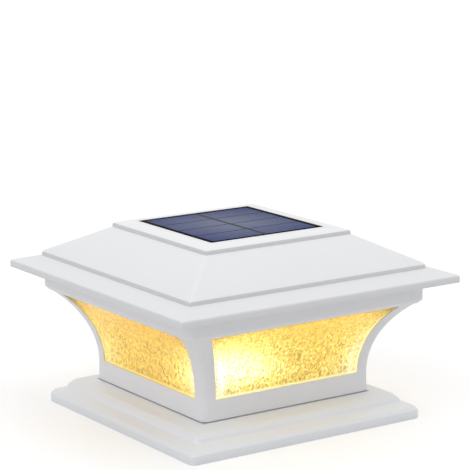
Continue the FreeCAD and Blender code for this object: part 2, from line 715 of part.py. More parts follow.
def make_body_frame():
    body = new_body("body_frame_blank")
    corner = cell("body_corner")
    inner_corner = total("body_corner", "-body_wall")
    slab(body, "band", cell("body_half"), corner, BODY_FOOT, COVE_FOOT)
    loft(body, "cove", cove_sections("0", corner), ruled=False)
    lip_half = total(COVE_HALF, "moulding_lip")
    loft(body, "moulding", [
        (COVE_HALF, corner, COVE_HEAD),
        (lip_half, corner, LIP_Z),
        (MOULDING_HALF, corner, MOULDING_FOOT),
        (MOULDING_HALF, corner, BODY_TOP),
    ])
    slab(body, "band_hollow", BODY_INNER, inner_corner, BODY_FOOT, COVE_FOOT, cut=True)
    inner_cove = cove_sections("body_wall", inner_corner)
    loft(body, "cove_hollow", inner_cove, ruled=False, cut=True)
    inner_moulding = total(MOULDING_HALF, "-moulding_wall")
    flange_z = total(BODY_TOP, "-flange_thickness")
    loft(body, "moulding_hollow", [
        inner_cove[-1],
        (inner_moulding, inner_corner, total(MOULDING_FOOT, "moulding_wall")),
        (inner_moulding, inner_corner, flange_z),
    ], cut=True)
    slab(body, "flange_opening", total(MOULDING_HALF, "-flange_width"), cell("flange_corner"), flange_z,
         BODY_TOP, cut=True)
    slab(body, "seal_groove", SEAL_OUTER, cell("roof_seal_corner"), total(BODY_TOP, "-roof_seal_depth"),
         BODY_TOP, inner=SEAL_INNER, cut=True)
    block_low = total("body_half", "-block_size")
    block_high = total("body_half", "-block_bury")
    screw_top = total(REFLECTOR_FOOT, "-block_cover")
    for index, (sx, sy) in enumerate(CORNERS):
        limits = []
        for sign in (sx, sy):
            pair = (block_low, block_high) if sign == "1" else (f"-{block_high}", f"-{block_low}")
            limits.append(pair)
        block(body, f"corner_block_{index}", *limits, (BLOCK_FOOT, REFLECTOR_FOOT))
        place = (f"{sx} * {PILLAR_OFFSET}", f"{sy} * {PILLAR_OFFSET}")
        rod(body, f"block_bore_{index}", cell("tray_screw_bore"), (*place, BLOCK_FOOT),
            total(screw_top, f"-{BLOCK_FOOT}"), cut=True)
        place = (f"{sx} * {ROOF_SCREW_OFFSET}", f"{sy} * {ROOF_SCREW_OFFSET}")
        rod(body, f"flange_hole_{index}", cell("roof_screw_bore"), (*place, flange_z),
            cell("flange_thickness"), cut=True)
    for role in ("XZ_Plane", "YZ_Plane"):
        sketch = body.newObject("Sketcher::SketchObject", f"window_{role[:2]}")
        sketch.AttachmentSupport = [(origin_plane(body, role), "")]
        sketch.MapMode = "FlatFace"
        window_outline(sketch, "0")
        windows = body.newObject("PartDesign::Pocket", f"windows_{role[:2]}")
        windows.Profile = sketch
        windows.Type = "ThroughAll"
        windows.SideType = "Symmetric"
    overlap = total("pane_overlap", "pane_clearance")
    depth = total("pane_recess", "pane_thickness", "rebate_room")
    rebates = []
    for side in range(4):
        rebates.append(cove_sheet(f"rebate_{side}", side, "rebate_recess", depth, overlap))
    return node(less("body_frame", body, joined("rebates", rebates)))


def make_panes():
    depth = total("pane_recess", "pane_thickness")
    for side, word in enumerate(("front", "right", "back", "left")):
        node(cove_sheet(f"pane_{word}", side, "pane_recess", depth, "pane_overlap"))


# ---- roof: brim, step, pyramid, plateau with the pocket of the solar panel ----------------
SLOPE = f"({cell('roof_rise')} / ({STEP_HALF} - {PLATEAU_HALF}))"


def make_roof_cover():
    body = new_body("roof_cover")
    lip_top_half = total(LIP_HALF, "-lip_taper")
    profile = [
        (BRIM_HALF, cell("brim_corner"), BODY_TOP),
        (BRIM_HALF, cell("brim_corner"), BRIM_TOP),
        (STEP_HALF, cell("step_corner"), STEP_FOOT),
        (STEP_HALF, cell("step_corner"), STEP_TOP),
        (PLATEAU_HALF, cell("plateau_corner"), PLATEAU_FOOT),
        (PLATEAU_HALF, cell("plateau_corner"), PLATEAU_TOP),
        (LIP_HALF, cell("plateau_corner"), LIP_FOOT),
        (lip_top_half, cell("plateau_corner"), ROOF_TOP),
    ]
    softened = {1: "brim_edge_round", 3: "step_edge_round", 5: "plateau_edge_round"}
    loft(body, "roof_block", eased(profile, softened))
    cavity_half = total(MOULDING_HALF, "-roof_inner_wall")
    skin = cell("slope_skin")
    cavity_shoulder = total(STEP_TOP, f"({STEP_HALF} - {cavity_half}) * {SLOPE}", f"-{skin}")
    cavity_top = total(POCKET_FLOOR, "-roof_skin")
    cavity_top_half = total(STEP_HALF, f"-({cavity_top} + {skin} - {STEP_TOP}) / {SLOPE}")
    loft(body, "cavity", [
        (cavity_half, cell("cavity_corner"), BODY_TOP),
        (cavity_half, cell("cavity_corner"), cavity_shoulder),
        (cavity_top_half, cell("cavity_corner"), cavity_top),
    ], cut=True)
    relief_outer = total(BRIM_HALF, "-brim_relief_wall")
    relief_inner = total(MOULDING_HALF, "brim_relief_wall")
    relief_inner_outline = (relief_inner, cell("brim_relief_inner_corner"))
    slab(body, "brim_relief", relief_outer, cell("brim_relief_corner"), BODY_TOP,
         total(BODY_TOP, "brim_relief_depth"), inner=relief_inner_outline, cut=True)
    slab(body, "panel_pocket", POCKET_HALF, cell("panel_corner"), POCKET_FLOOR, ROOF_TOP, cut=True)
    rod(body, "lead_hole_cut", cell("lead_hole"), ("0", "0", cavity_top),
        total(POCKET_FLOOR, f"-{cavity_top}"), cut=True)
    boss_reach = total(ROOF_SCREW_OFFSET, "roof_boss")
    boss_top = total(STEP_TOP, f"({STEP_HALF} - {boss_reach}) * {SLOPE}", "-roof_boss_cover")
    for index, (sx, sy) in enumerate(CORNERS):
        place = (f"{sx} * {ROOF_SCREW_OFFSET}", f"{sy} * {ROOF_SCREW_OFFSET}", BODY_TOP)
        rod(body, f"boss_{index}", cell("roof_boss"), place, total(boss_top, f"-{BODY_TOP}"))
        rod(body, f"boss_bore_{index}", cell("roof_screw_bore"), place,
            total("roof_screw_length", "-flange_thickness", "roof_screw_tip_room"), cut=True)
    return node(body)


def make_roof_fittings():
    body = new_body("roof_seal")
    slab(body, "roof_seal_ring", SEAL_OUTER, cell("roof_seal_corner"), total(BODY_TOP, "-roof_seal_depth"),
         BODY_TOP, inner=SEAL_INNER)
    node(body)
    head_foot = total(BODY_TOP, "-flange_thickness", "-roof_screw_head_height")
    screws = []
    for index, (sx, sy) in enumerate(CORNERS):
        place = (f"{sx} * {ROOF_SCREW_OFFSET}", f"{sy} * {ROOF_SCREW_OFFSET}", head_foot)
        screws.append(screw(f"roof_screw_{index}", *place, cell("roof_screw_head"),
                            cell("roof_screw_head_height"), cell("roof_screw_shank"),
                            cell("roof_screw_length")))
    node(group("roof_screws", screws))


# ---- solar panel --------------------------------------------------------------------------
def make_solar_panel():
    half = cell("panel_half")
    seal_top = total(POCKET_FLOOR, "panel_seal_thickness")
    backing_top = total(seal_top, "backing_thickness")
    cell_top = total(backing_top, "cell_thickness")
    glass_top = total(cell_top, "glass_thickness")
    seal = new_body("panel_seal")
    slab(seal, "panel_seal_ring", half, cell("panel_corner"), POCKET_FLOOR, seal_top,
         inner=(total("panel_half", "-panel_seal_width"), cell("panel_corner")))
    node(seal)
    backing = new_body("solar_backing")
    slab(backing, "backing_plate", half, cell("panel_corner"), seal_top, backing_top)
    node(backing)
    columns = 2
    rows = 4
    field = f"2 * ({half} - {cell('cell_border')})"
    width_x = f"(({field} - {columns - 1} * {cell('cell_column_gap')}) / {columns})"
    width_y = f"(({field} - {rows - 1} * {cell('cell_row_gap')}) / {rows})"
    start = total("cell_border", "-panel_half")
    cells = []
    for column in range(columns):
        for row in range(rows):
            x = f"({start} + {column} * ({width_x} + {cell('cell_column_gap')}))"
            y = f"({start} + {row} * ({width_y} + {cell('cell_row_gap')}))"
            cells.append(part_box(f"solar_cell_{column}_{row}", (x, f"{x} + {width_x}"),
                                  (y, f"{y} + {width_y}"), (backing_top, cell_top)))
    node(group("solar_cells", cells))
    glass = new_body("solar_glass")
    slab(glass, "glass_plate", half, cell("panel_corner"), cell_top, glass_top)
    node(glass)


# ---- tray that closes the lantern's foot, battery box and door ----------------------------
BOX_INNER_Y = total(BATTERY_RADIUS, "cell_play")
BOX_OUTER_Y = total(BOX_INNER_Y, "box_wall")
CELL_END = f"({cell('cell_length')} / 2)"
BOX_HIGH_X = total(CELL_END, "contact_sheet")
BOX_LOW_X = f"-({CELL_END} + {cell('contact_room')})"
BOX_OUT_LOW_X = total(BOX_LOW_X, "-box_wall")
BOX_OUT_HIGH_X = total(BOX_HIGH_X, "box_wall")
HINGE_Y = f"-({BOX_OUTER_Y} + {cell('door_knuckle')} + {cell('hinge_gap')})"
HINGE_Z = total(DOOR_TOP, "-hinge_drop")
KNUCKLE_LOW_X = f"-{cell('knuckle_start')}"
KNUCKLE_LENGTH = cell("knuckle_length")
LUG_STARTS = (f"({KNUCKLE_LOW_X} - {cell('door_lug_gap')} - {cell('door_lug_width')})",
              f"({KNUCKLE_LOW_X} + {KNUCKLE_LENGTH} + {cell('door_lug_gap')})")
BOARD_FOOT = total(TRAY_TOP, "board_standoff")
BOARD_TOP = total(BOARD_FOOT, "board_thickness")
STANDOFF_REACH = f"({cell('board_length')} / 2 - {cell('standoff_inset')})"
STANDOFF_X = (f"-{STANDOFF_REACH}", STANDOFF_REACH)
SWITCH_Y = cell("board_offset")
SLOT_X = f"({cell('switch_travel')} / 2 + {cell('switch_stem')} / 2 + {cell('switch_gap')})"
SLOT_Y = f"({cell('switch_stem')} / 2 + {cell('switch_gap')})"
SLOT_LIMITS = ((f"-{SLOT_X}", SLOT_X), (f"{SWITCH_Y} - {SLOT_Y}", f"{SWITCH_Y} + {SLOT_Y}"))
LEAD_CORNER = total("body_half", "-lead_inset")


def make_bottom_tray():
    body = new_body("bottom_tray")
    slab(body, "tray_floor", TRAY_HALF, cell("tray_corner"), TRAY_FOOT, TRAY_TOP)
    slab(body, "tray_rim", TRAY_HALF, cell("tray_corner"), TRAY_TOP, total(TRAY_TOP, "tray_rim_height"),
         inner=(total(TRAY_HALF, "-tray_rim"), cell("tray_inner_corner")))
    block(body, "battery_box", (BOX_OUT_LOW_X, BOX_OUT_HIGH_X), (f"-{BOX_OUTER_Y}", BOX_OUTER_Y),
          (BOX_FOOT, BOX_TOP))
    block(body, "battery_space", (BOX_LOW_X, BOX_HIGH_X), (f"-{BOX_INNER_Y}", BOX_INNER_Y),
          (BOX_FOOT, BOX_CEILING), cut=True)
    knuckle = cell("door_knuckle")
    web_y = (f"{HINGE_Y} - {knuckle}", f"{HINGE_Y} + {knuckle}")
    for index, start in enumerate(LUG_STARTS):
        lug_end = f"{start} + {cell('door_lug_width')}"
        rod(body, f"lug_{index}", knuckle, (start, HINGE_Y, HINGE_Z), cell("door_lug_width"), "x")
        block(body, f"lug_web_{index}", (start, lug_end), web_y, (HINGE_Z, TRAY_FOOT))
        rod(body, f"lug_bore_{index}", cell("door_pin_bore"), (start, HINGE_Y, HINGE_Z),
            cell("door_lug_width"), "x", cut=True)
    pillar_height = total(BLOCK_FOOT, "-pillar_gap", f"-{TRAY_FOOT}")
    recess_radius = total("tray_screw_head", "screw_recess_gap")
    recess_depth = total("tray_screw_head_height", "tray_screw_sink")
    for index, (sx, sy) in enumerate(CORNERS):
        place = (f"{sx} * {PILLAR_OFFSET}", f"{sy} * {PILLAR_OFFSET}", TRAY_FOOT)
        rod(body, f"pillar_{index}", cell("pillar_radius"), place, pillar_height)
        rod(body, f"pillar_bore_{index}", cell("tray_screw_bore"), place, pillar_height, cut=True)
        rod(body, f"pillar_recess_{index}", recess_radius, place, recess_depth, cut=True)
    for index, x in enumerate(STANDOFF_X):
        place = (x, SWITCH_Y, TRAY_TOP)
        bore_radius = total("board_screw_radius", "standoff_bore_gap")
        rod(body, f"standoff_{index}", cell("standoff_radius"), place, cell("board_standoff"))
        rod(body, f"standoff_bore_{index}", bore_radius, place, cell("board_standoff"), cut=True)
    block(body, "switch_slot", *SLOT_LIMITS, (TRAY_FOOT, TRAY_TOP), cut=True)
    return node(body)


def make_battery():
    can_length = total("cell_length", "-button_height")
    can = part_rod("battery_can", BATTERY_RADIUS, (f"-{CELL_END}", "0", BATTERY_Z), can_length, "x")
    button_x = total(CELL_END, "-button_height")
    button = part_rod("battery_button", cell("button_radius"), (button_x, "0", BATTERY_Z),
                      cell("button_height"), "x")
    node(joined("battery_cell", [can, button]))
    half = cell("contact_half")
    node(part_box("battery_contact", (CELL_END, BOX_HIGH_X), (f"-{half}", half),
                  (total(BATTERY_Z, "-contact_half"), total(BATTERY_Z, "contact_half"))))
    plate_x = number(BOX_LOW_X)
    axis_z = number(BATTERY_Z)
    sheet_thickness = number(cell("contact_sheet"))
    plate_half = number(half)
    wire = number(cell("spring_wire"))
    turns = number(cell("spring_turns"))
    coil = number(cell("spring_coil"))
    room = number(total("contact_room", "-contact_sheet", "-spring_play")) - 2 * wire
    helix = Part.makeHelix(room / turns, room, coil)
    section = Part.Wire([Part.makeCircle(wire, Vector(coil, 0, 0), Vector(0, 1, 0))])
    spring = Part.Wire(helix).makePipeShell([section], True, True)
    spring.rotate(Vector(), Vector(0, 1, 0), 90)
    spring.translate(Vector(plate_x + sheet_thickness + 0.6 * wire, 0, axis_z))
    plate = Part.makeBox(sheet_thickness, 2 * plate_half, 2 * plate_half,
                         Vector(plate_x, -plate_half, axis_z - plate_half))
    node(free_shape("battery_spring", plate.fuse(spring)))


def make_battery_door():
    body = new_body("battery_door")
    knuckle = cell("door_knuckle")
    x = (BOX_OUT_LOW_X, BOX_OUT_HIGH_X)
    block(body, "door_plate", x, (f"-{BOX_OUTER_Y}", BOX_OUTER_Y), (DOOR_FOOT, DOOR_TOP))
    knuckle_x = (KNUCKLE_LOW_X, f"{KNUCKLE_LOW_X} + {KNUCKLE_LENGTH}")
    block(body, "door_arm", knuckle_x, (HINGE_Y, f"-{BOX_OUTER_Y}"), (DOOR_FOOT, DOOR_TOP))
    rod(body, "door_knuckle_rod", knuckle, (KNUCKLE_LOW_X, HINGE_Y, HINGE_Z), KNUCKLE_LENGTH, "x")
    rod(body, "door_knuckle_bore", cell("door_pin_bore"), (KNUCKLE_LOW_X, HINGE_Y, HINGE_Z), KNUCKLE_LENGTH,
        "x", cut=True)
    node(body)
    pin_length = f"{KNUCKLE_LENGTH} + 2 * ({cell('door_lug_gap')} + {cell('door_lug_width')})"
    node(part_rod("door_pin", cell("door_pin"), (LUG_STARTS[0], HINGE_Y, HINGE_Z), pin_length, "x"))


def make_tray_screws():
    screws = []
    head_foot = total(TRAY_FOOT, "tray_screw_sink")
    for index, (sx, sy) in enumerate(CORNERS):
        place = (f"{sx} * {PILLAR_OFFSET}", f"{sy} * {PILLAR_OFFSET}", head_foot)
        screws.append(screw(f"tray_screw_{index}", *place, cell("tray_screw_head"),
                            cell("tray_screw_head_height"), cell("tray_screw_shank"),
                            cell("tray_screw_length")))
    node(group("tray_screws", screws))


# ---- light: reflector plate, LED board, LEDs, frosted dome --------------------------------
def make_light():
    body = new_body("reflector_plate")
    half = total(BODY_INNER, "-reflector_gap")
    slab(body, "reflector", half, cell("reflector_corner"), REFLECTOR_FOOT, REFLECTOR_TOP)
    square = (total(LEAD_CORNER, "-lead_opening"), total(LEAD_CORNER, "lead_opening"))
    block(body, "panel_lead_opening", square, square, (REFLECTOR_FOOT, REFLECTOR_TOP), cut=True)
    across = (f"-{cell('led_opening_x')}", cell("led_opening_x"))
    along = (total("led_lead_y", "-led_opening_y"), total("led_lead_y", "led_opening_y"))
    block(body, "led_lead_opening", across, along, (REFLECTOR_FOOT, REFLECTOR_TOP), cut=True)
    node(body)
    node(part_rod("led_board", cell("led_board_radius"), ("0", "0", REFLECTOR_TOP),
                  cell("led_board_thickness")))
    board_top = total(REFLECTOR_TOP, "led_board_thickness")
    heights = (board_top, total(board_top, "led_height"))
    half_led = f"{cell('led_size')} / 2"
    count = int(SIZES["led_count"])
    leds = []
    for index in range(count):
        angle = f"{360 / count * index} * 1 deg"
        x = f"{cell('led_circle')} * cos({angle})"
        y = f"{cell('led_circle')} * sin({angle})"
        leds.append(part_box(f"led_{index}", (f"{x} - {half_led}", f"{x} + {half_led}"),
                             (f"{y} - {half_led}", f"{y} + {half_led}"), heights))
    node(group("leds", leds))
    ball_radius = total("diffuser_radius", "diffuser_bulge")
    sink = f"sqrt({ball_radius} ^ 2 - {cell('diffuser_radius')} ^ 2)"
    shells = []
    for word, inset in (("outer", []), ("inner", ["-diffuser_wall"])):
        ball = doc.addObject("Part::Sphere", f"dome_ball_{word}")
        ball.setExpression("Radius", total(ball_radius, *inset))
        ball.setExpression("Placement.Base.z", f"{REFLECTOR_TOP} + {cell('diffuser_foot')} - {sink}")
        post = part_rod(f"dome_post_{word}", total("diffuser_radius", *inset), ("0", "0", REFLECTOR_TOP),
                        cell("diffuser_radius"))
        shell = doc.addObject("Part::MultiCommon", f"dome_{word}")
        shell.Shapes = [ball, post]
        shells.append(shell)
    node(less("led_diffuser", *shells))


# ---- charge board, switch, leads ----------------------------------------------------------
def make_electronics():
    board = new_body("main_board")
    half_x = f"({cell('board_length')} / 2)"
    half_y = f"({cell('board_width')} / 2)"
    block(board, "board_plate", (f"-{half_x}", half_x), (f"{SWITCH_Y} - {half_y}", f"{SWITCH_Y} + {half_y}"),
          (BOARD_FOOT, BOARD_TOP))
    hole_radius = total("board_screw_radius", "board_hole_gap")
    shank_length = total("board_standoff", "board_thickness", "-board_screw_end_room")
    screws = []
    for index, x in enumerate(STANDOFF_X):
        rod(board, f"board_hole_{index}", hole_radius, (x, SWITCH_Y, BOARD_FOOT), cell("board_thickness"),
            cut=True)
        screws.append(screw(f"board_screw_{index}", x, SWITCH_Y, BOARD_TOP, cell("board_screw_head"),
                            cell("board_screw_head_height"), cell("board_screw_radius"), shank_length,
                            upwards=False))
    node(board)
    node(group("board_screws", screws))
    chip_x = f"-{cell('chip_shift')}"
    chip_y = f"{SWITCH_Y} + {cell('chip_shift')}"
    chip_z = (BOARD_TOP, total(BOARD_TOP, "chip_height"))
    chip = part_box("charge_chip", (chip_x, f"{chip_x} + {cell('chip_length')}"),
                    (chip_y, f"{chip_y} + {cell('chip_width')}"), chip_z)
    choke_place = (cell("choke_shift"), f"{SWITCH_Y} - {cell('choke_back')}", BOARD_TOP)
    choke = part_rod("choke", cell("choke_radius"), choke_place, cell("choke_height"))
    can_place = (f"-{cell('capacitor_shift')}", f"{SWITCH_Y} - {cell('capacitor_back')}", BOARD_TOP)
    can = part_rod("capacitor", cell("capacitor_radius"), can_place, cell("capacitor_height"))
    node(group("board_parts", [chip, choke, can]))


def make_switch():
    foot = total(TRAY_TOP, "switch_foot_gap")
    half_length = f"({cell('switch_length')} / 2)"
    half_width = f"({cell('switch_width')} / 2)"
    case = new_body("switch_body")
    block(case, "switch_case", (f"-{half_length}", half_length),
          (f"{SWITCH_Y} - {half_width}", f"{SWITCH_Y} + {half_width}"), (foot, BOARD_FOOT))
    block(case, "switch_track", *SLOT_LIMITS, (foot, total(foot, "switch_track_depth")), cut=True)
    node(case)
    middle = f"(-{cell('switch_travel')} / 2)"
    knob_top = total(TRAY_FOOT, "-switch_knob_gap")
    half_stem = f"{cell('switch_stem')} / 2"
    half_knob_x = f"{cell('switch_knob_length')} / 2"
    half_knob_y = f"{cell('switch_knob_width')} / 2"
    slider = new_body("switch_slider")
    block(slider, "slider_knob", (f"{middle} - {half_knob_x}", f"{middle} + {half_knob_x}"),
          (f"{SWITCH_Y} - {half_knob_y}", f"{SWITCH_Y} + {half_knob_y}"),
          (total(knob_top, "-switch_knob_height"), knob_top))
    block(slider, "slider_stem", (f"{middle} - {half_stem}", f"{middle} + {half_stem}"),
          (f"{SWITCH_Y} - {half_stem}", f"{SWITCH_Y} + {half_stem}"),
          (knob_top, total(foot, "switch_stem_reach")))
    node(slider)


def make_leads():
    half_spacing = number(cell("lead_spacing")) / 2
    corner = number(LEAD_CORNER)
    panel_z = number(total(POCKET_FLOOR, "panel_seal_thickness"))
    turn_z = panel_z - number(cell("lead_drop"))
    corner_z = turn_z - number(cell("lead_slope"))
    board_z = number(BOARD_TOP)
    end_x = number(cell("board_length")) / 2 - number(cell("lead_end_inset"))
    end_y = number(total("board_offset", "lead_end_back"))
    for word, side in (("red", 1), ("black", -1)):
        shift = side * half_spacing
        slant = shift / math.sqrt(2)
        elbow_x = corner - number(cell("lead_elbow_x"))
        elbow_y = corner - number(cell("lead_elbow_y")) - shift
        last_y = end_y - 1.5 * shift
        points = [
            Vector(shift, 0, panel_z),
            Vector(shift, 0, turn_z),
            Vector(corner + slant, corner - slant, corner_z),
            Vector(corner + slant, corner - slant, board_z + number(cell("lead_rise"))),
            Vector(elbow_x, elbow_y, board_z + number(cell("lead_elbow_rise"))),
            Vector(end_x, last_y, board_z + number(cell("lead_end_rise"))),
            Vector(end_x, last_y, board_z),
        ]
        name = f"panel_lead_{word}"
        node(free_shape(name, bent_lead(name, points, number(cell("lead_radius")))))
    led_board_z = number(total(REFLECTOR_TOP, "led_board_thickness"))
    high_z = led_board_z + number(cell("led_lead_rise"))
    far_y = number(cell("led_lead_y"))
    near_y = number(total("led_board_radius", "-led_lead_end"))
    tubes = []
    for side in (-1, 1):
        x = side * number(cell("led_lead_shift"))
        points = [Vector(x, far_y, board_z), Vector(x, far_y, high_z), Vector(x, near_y, high_z),
                  Vector(x, near_y, led_board_z)]
        tubes.append(bent_lead(f"led_lead_{side}", points, number(cell("led_lead_radius"))))
    node(free_shape("led_leads", Part.makeCompound(tubes)))


make_base_skirt()
make_body_frame()
make_panes()
make_roof_cover()
make_roof_fittings()
make_solar_panel()
make_bottom_tray()
make_battery()
make_battery_door()
make_tray_screws()
make_light()
make_electronics()
make_switch()
make_leads()
doc.recompute()

faults = [item.Name for item in doc.Objects if "Invalid" in item.State or "Error" in item.State]
if faults:
    raise RuntimeError(f"failed objects: {faults}")
for feature in nodes:
    if feature.Shape.isNull() or not feature.Shape.isValid() or not feature.Shape.Solids:
        raise RuntimeError(f"bad shape: {feature.Label}")

os.makedirs("parts", exist_ok=True)
for feature in nodes:
    feature.Shape.exportStep(f"parts/{feature.Label}.step")
    box = feature.Shape.BoundBox
    print(f"{feature.Label}: {len(feature.Shape.Solids)} solid(s), volume {feature.Shape.Volume:.1f}, "
          f"z {box.ZMin:.2f} to {box.ZMax:.2f}, x {box.XMin:.2f} to {box.XMax:.2f}")
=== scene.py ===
"""Deck post cap light: finishes, hammered window panes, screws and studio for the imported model.

All lengths are metres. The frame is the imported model's: +Z up, origin at the middle of the
base's lower rim, front at -Y.
"""
import json
import math

import bmesh
import bpy
from mathutils import Matrix, Vector, noise


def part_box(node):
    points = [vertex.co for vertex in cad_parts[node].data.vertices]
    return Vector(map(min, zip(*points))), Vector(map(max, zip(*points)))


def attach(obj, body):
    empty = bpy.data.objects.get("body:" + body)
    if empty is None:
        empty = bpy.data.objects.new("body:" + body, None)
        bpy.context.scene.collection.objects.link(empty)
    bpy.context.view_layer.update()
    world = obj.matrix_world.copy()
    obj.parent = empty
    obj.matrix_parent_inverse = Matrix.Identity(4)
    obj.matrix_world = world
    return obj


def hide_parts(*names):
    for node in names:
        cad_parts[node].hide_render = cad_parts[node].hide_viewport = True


bl_info = {
    "name": "Deck Post Cap Light",
    "version": (1, 0, 0),
    "blender": (4, 5, 0),
    "location": "View3D > Sidebar > Cap Light",
    "description": "Builds a lit solar cap light around its packed CAD model",
    "category": "Add Mesh",
}

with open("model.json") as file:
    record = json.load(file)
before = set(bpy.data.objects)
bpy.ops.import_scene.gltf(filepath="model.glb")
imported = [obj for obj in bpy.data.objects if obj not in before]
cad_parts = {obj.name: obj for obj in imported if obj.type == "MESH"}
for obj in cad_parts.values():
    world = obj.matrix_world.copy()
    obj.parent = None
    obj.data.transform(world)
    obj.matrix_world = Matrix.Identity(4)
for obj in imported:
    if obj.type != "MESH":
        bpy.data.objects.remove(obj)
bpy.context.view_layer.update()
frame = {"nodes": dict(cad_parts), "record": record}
MM = 0.001
MERGE = 1e-6


# ---- profile of the lantern: its foot is read from the frame, the rest repeats the CAD -----
BODY_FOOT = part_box("body_frame")[0][2]
BODY_HALF = 64 * MM
BAND_TOP = BODY_FOOT + 12.4 * MM
COVE_RADIUS = 60 * MM
COVE_SWEEP = math.radians(50.8)
COVE_TOP = BAND_TOP + COVE_RADIUS * math.sin(COVE_SWEEP)
SILL_Z = BAND_TOP + 0.7 * MM
HEAD_Z = COVE_TOP - 0.3 * MM
RIB_WIDTH = 9.5 * MM
SIDE_RADIUS = 70 * MM
SIDE_CENTRE = BODY_HALF - RIB_WIDTH + SIDE_RADIUS


def wall_half(z, depth=0.0):
    """Half width of the lantern's wall at a height, that far behind its outer face."""
    if z <= BAND_TOP:
        return BODY_HALF - depth
    radius = COVE_RADIUS + depth
    return BODY_HALF + COVE_RADIUS - math.sqrt(radius ** 2 - (z - BAND_TOP) ** 2)


def window_half(z, overlap=0.0):
    """Half width of a window at a height, grown by an overlap all round."""
    radius = SIDE_RADIUS - overlap
    return SIDE_CENTRE - math.sqrt(radius ** 2 - (z - SILL_Z) ** 2)


# ---- material tools -----------------------------------------------------------------------
class Value:
    """A shader socket; expressions on it add Math nodes."""

    def __init__(self, paint, socket):
        self.paint = paint
        self.socket = socket

    def __add__(self, other):
        return self.paint.maths("ADD", self, other)

    def __radd__(self, other):
        return self.paint.maths("ADD", other, self)

    def __sub__(self, other):
        return self.paint.maths("SUBTRACT", self, other)

    def __rsub__(self, other):
        return self.paint.maths("SUBTRACT", other, self)

    def __mul__(self, other):
        return self.paint.maths("MULTIPLY", self, other)

    def __rmul__(self, other):
        return self.paint.maths("MULTIPLY", other, self)

    def __pow__(self, other):
        return self.paint.maths("POWER", self, other)


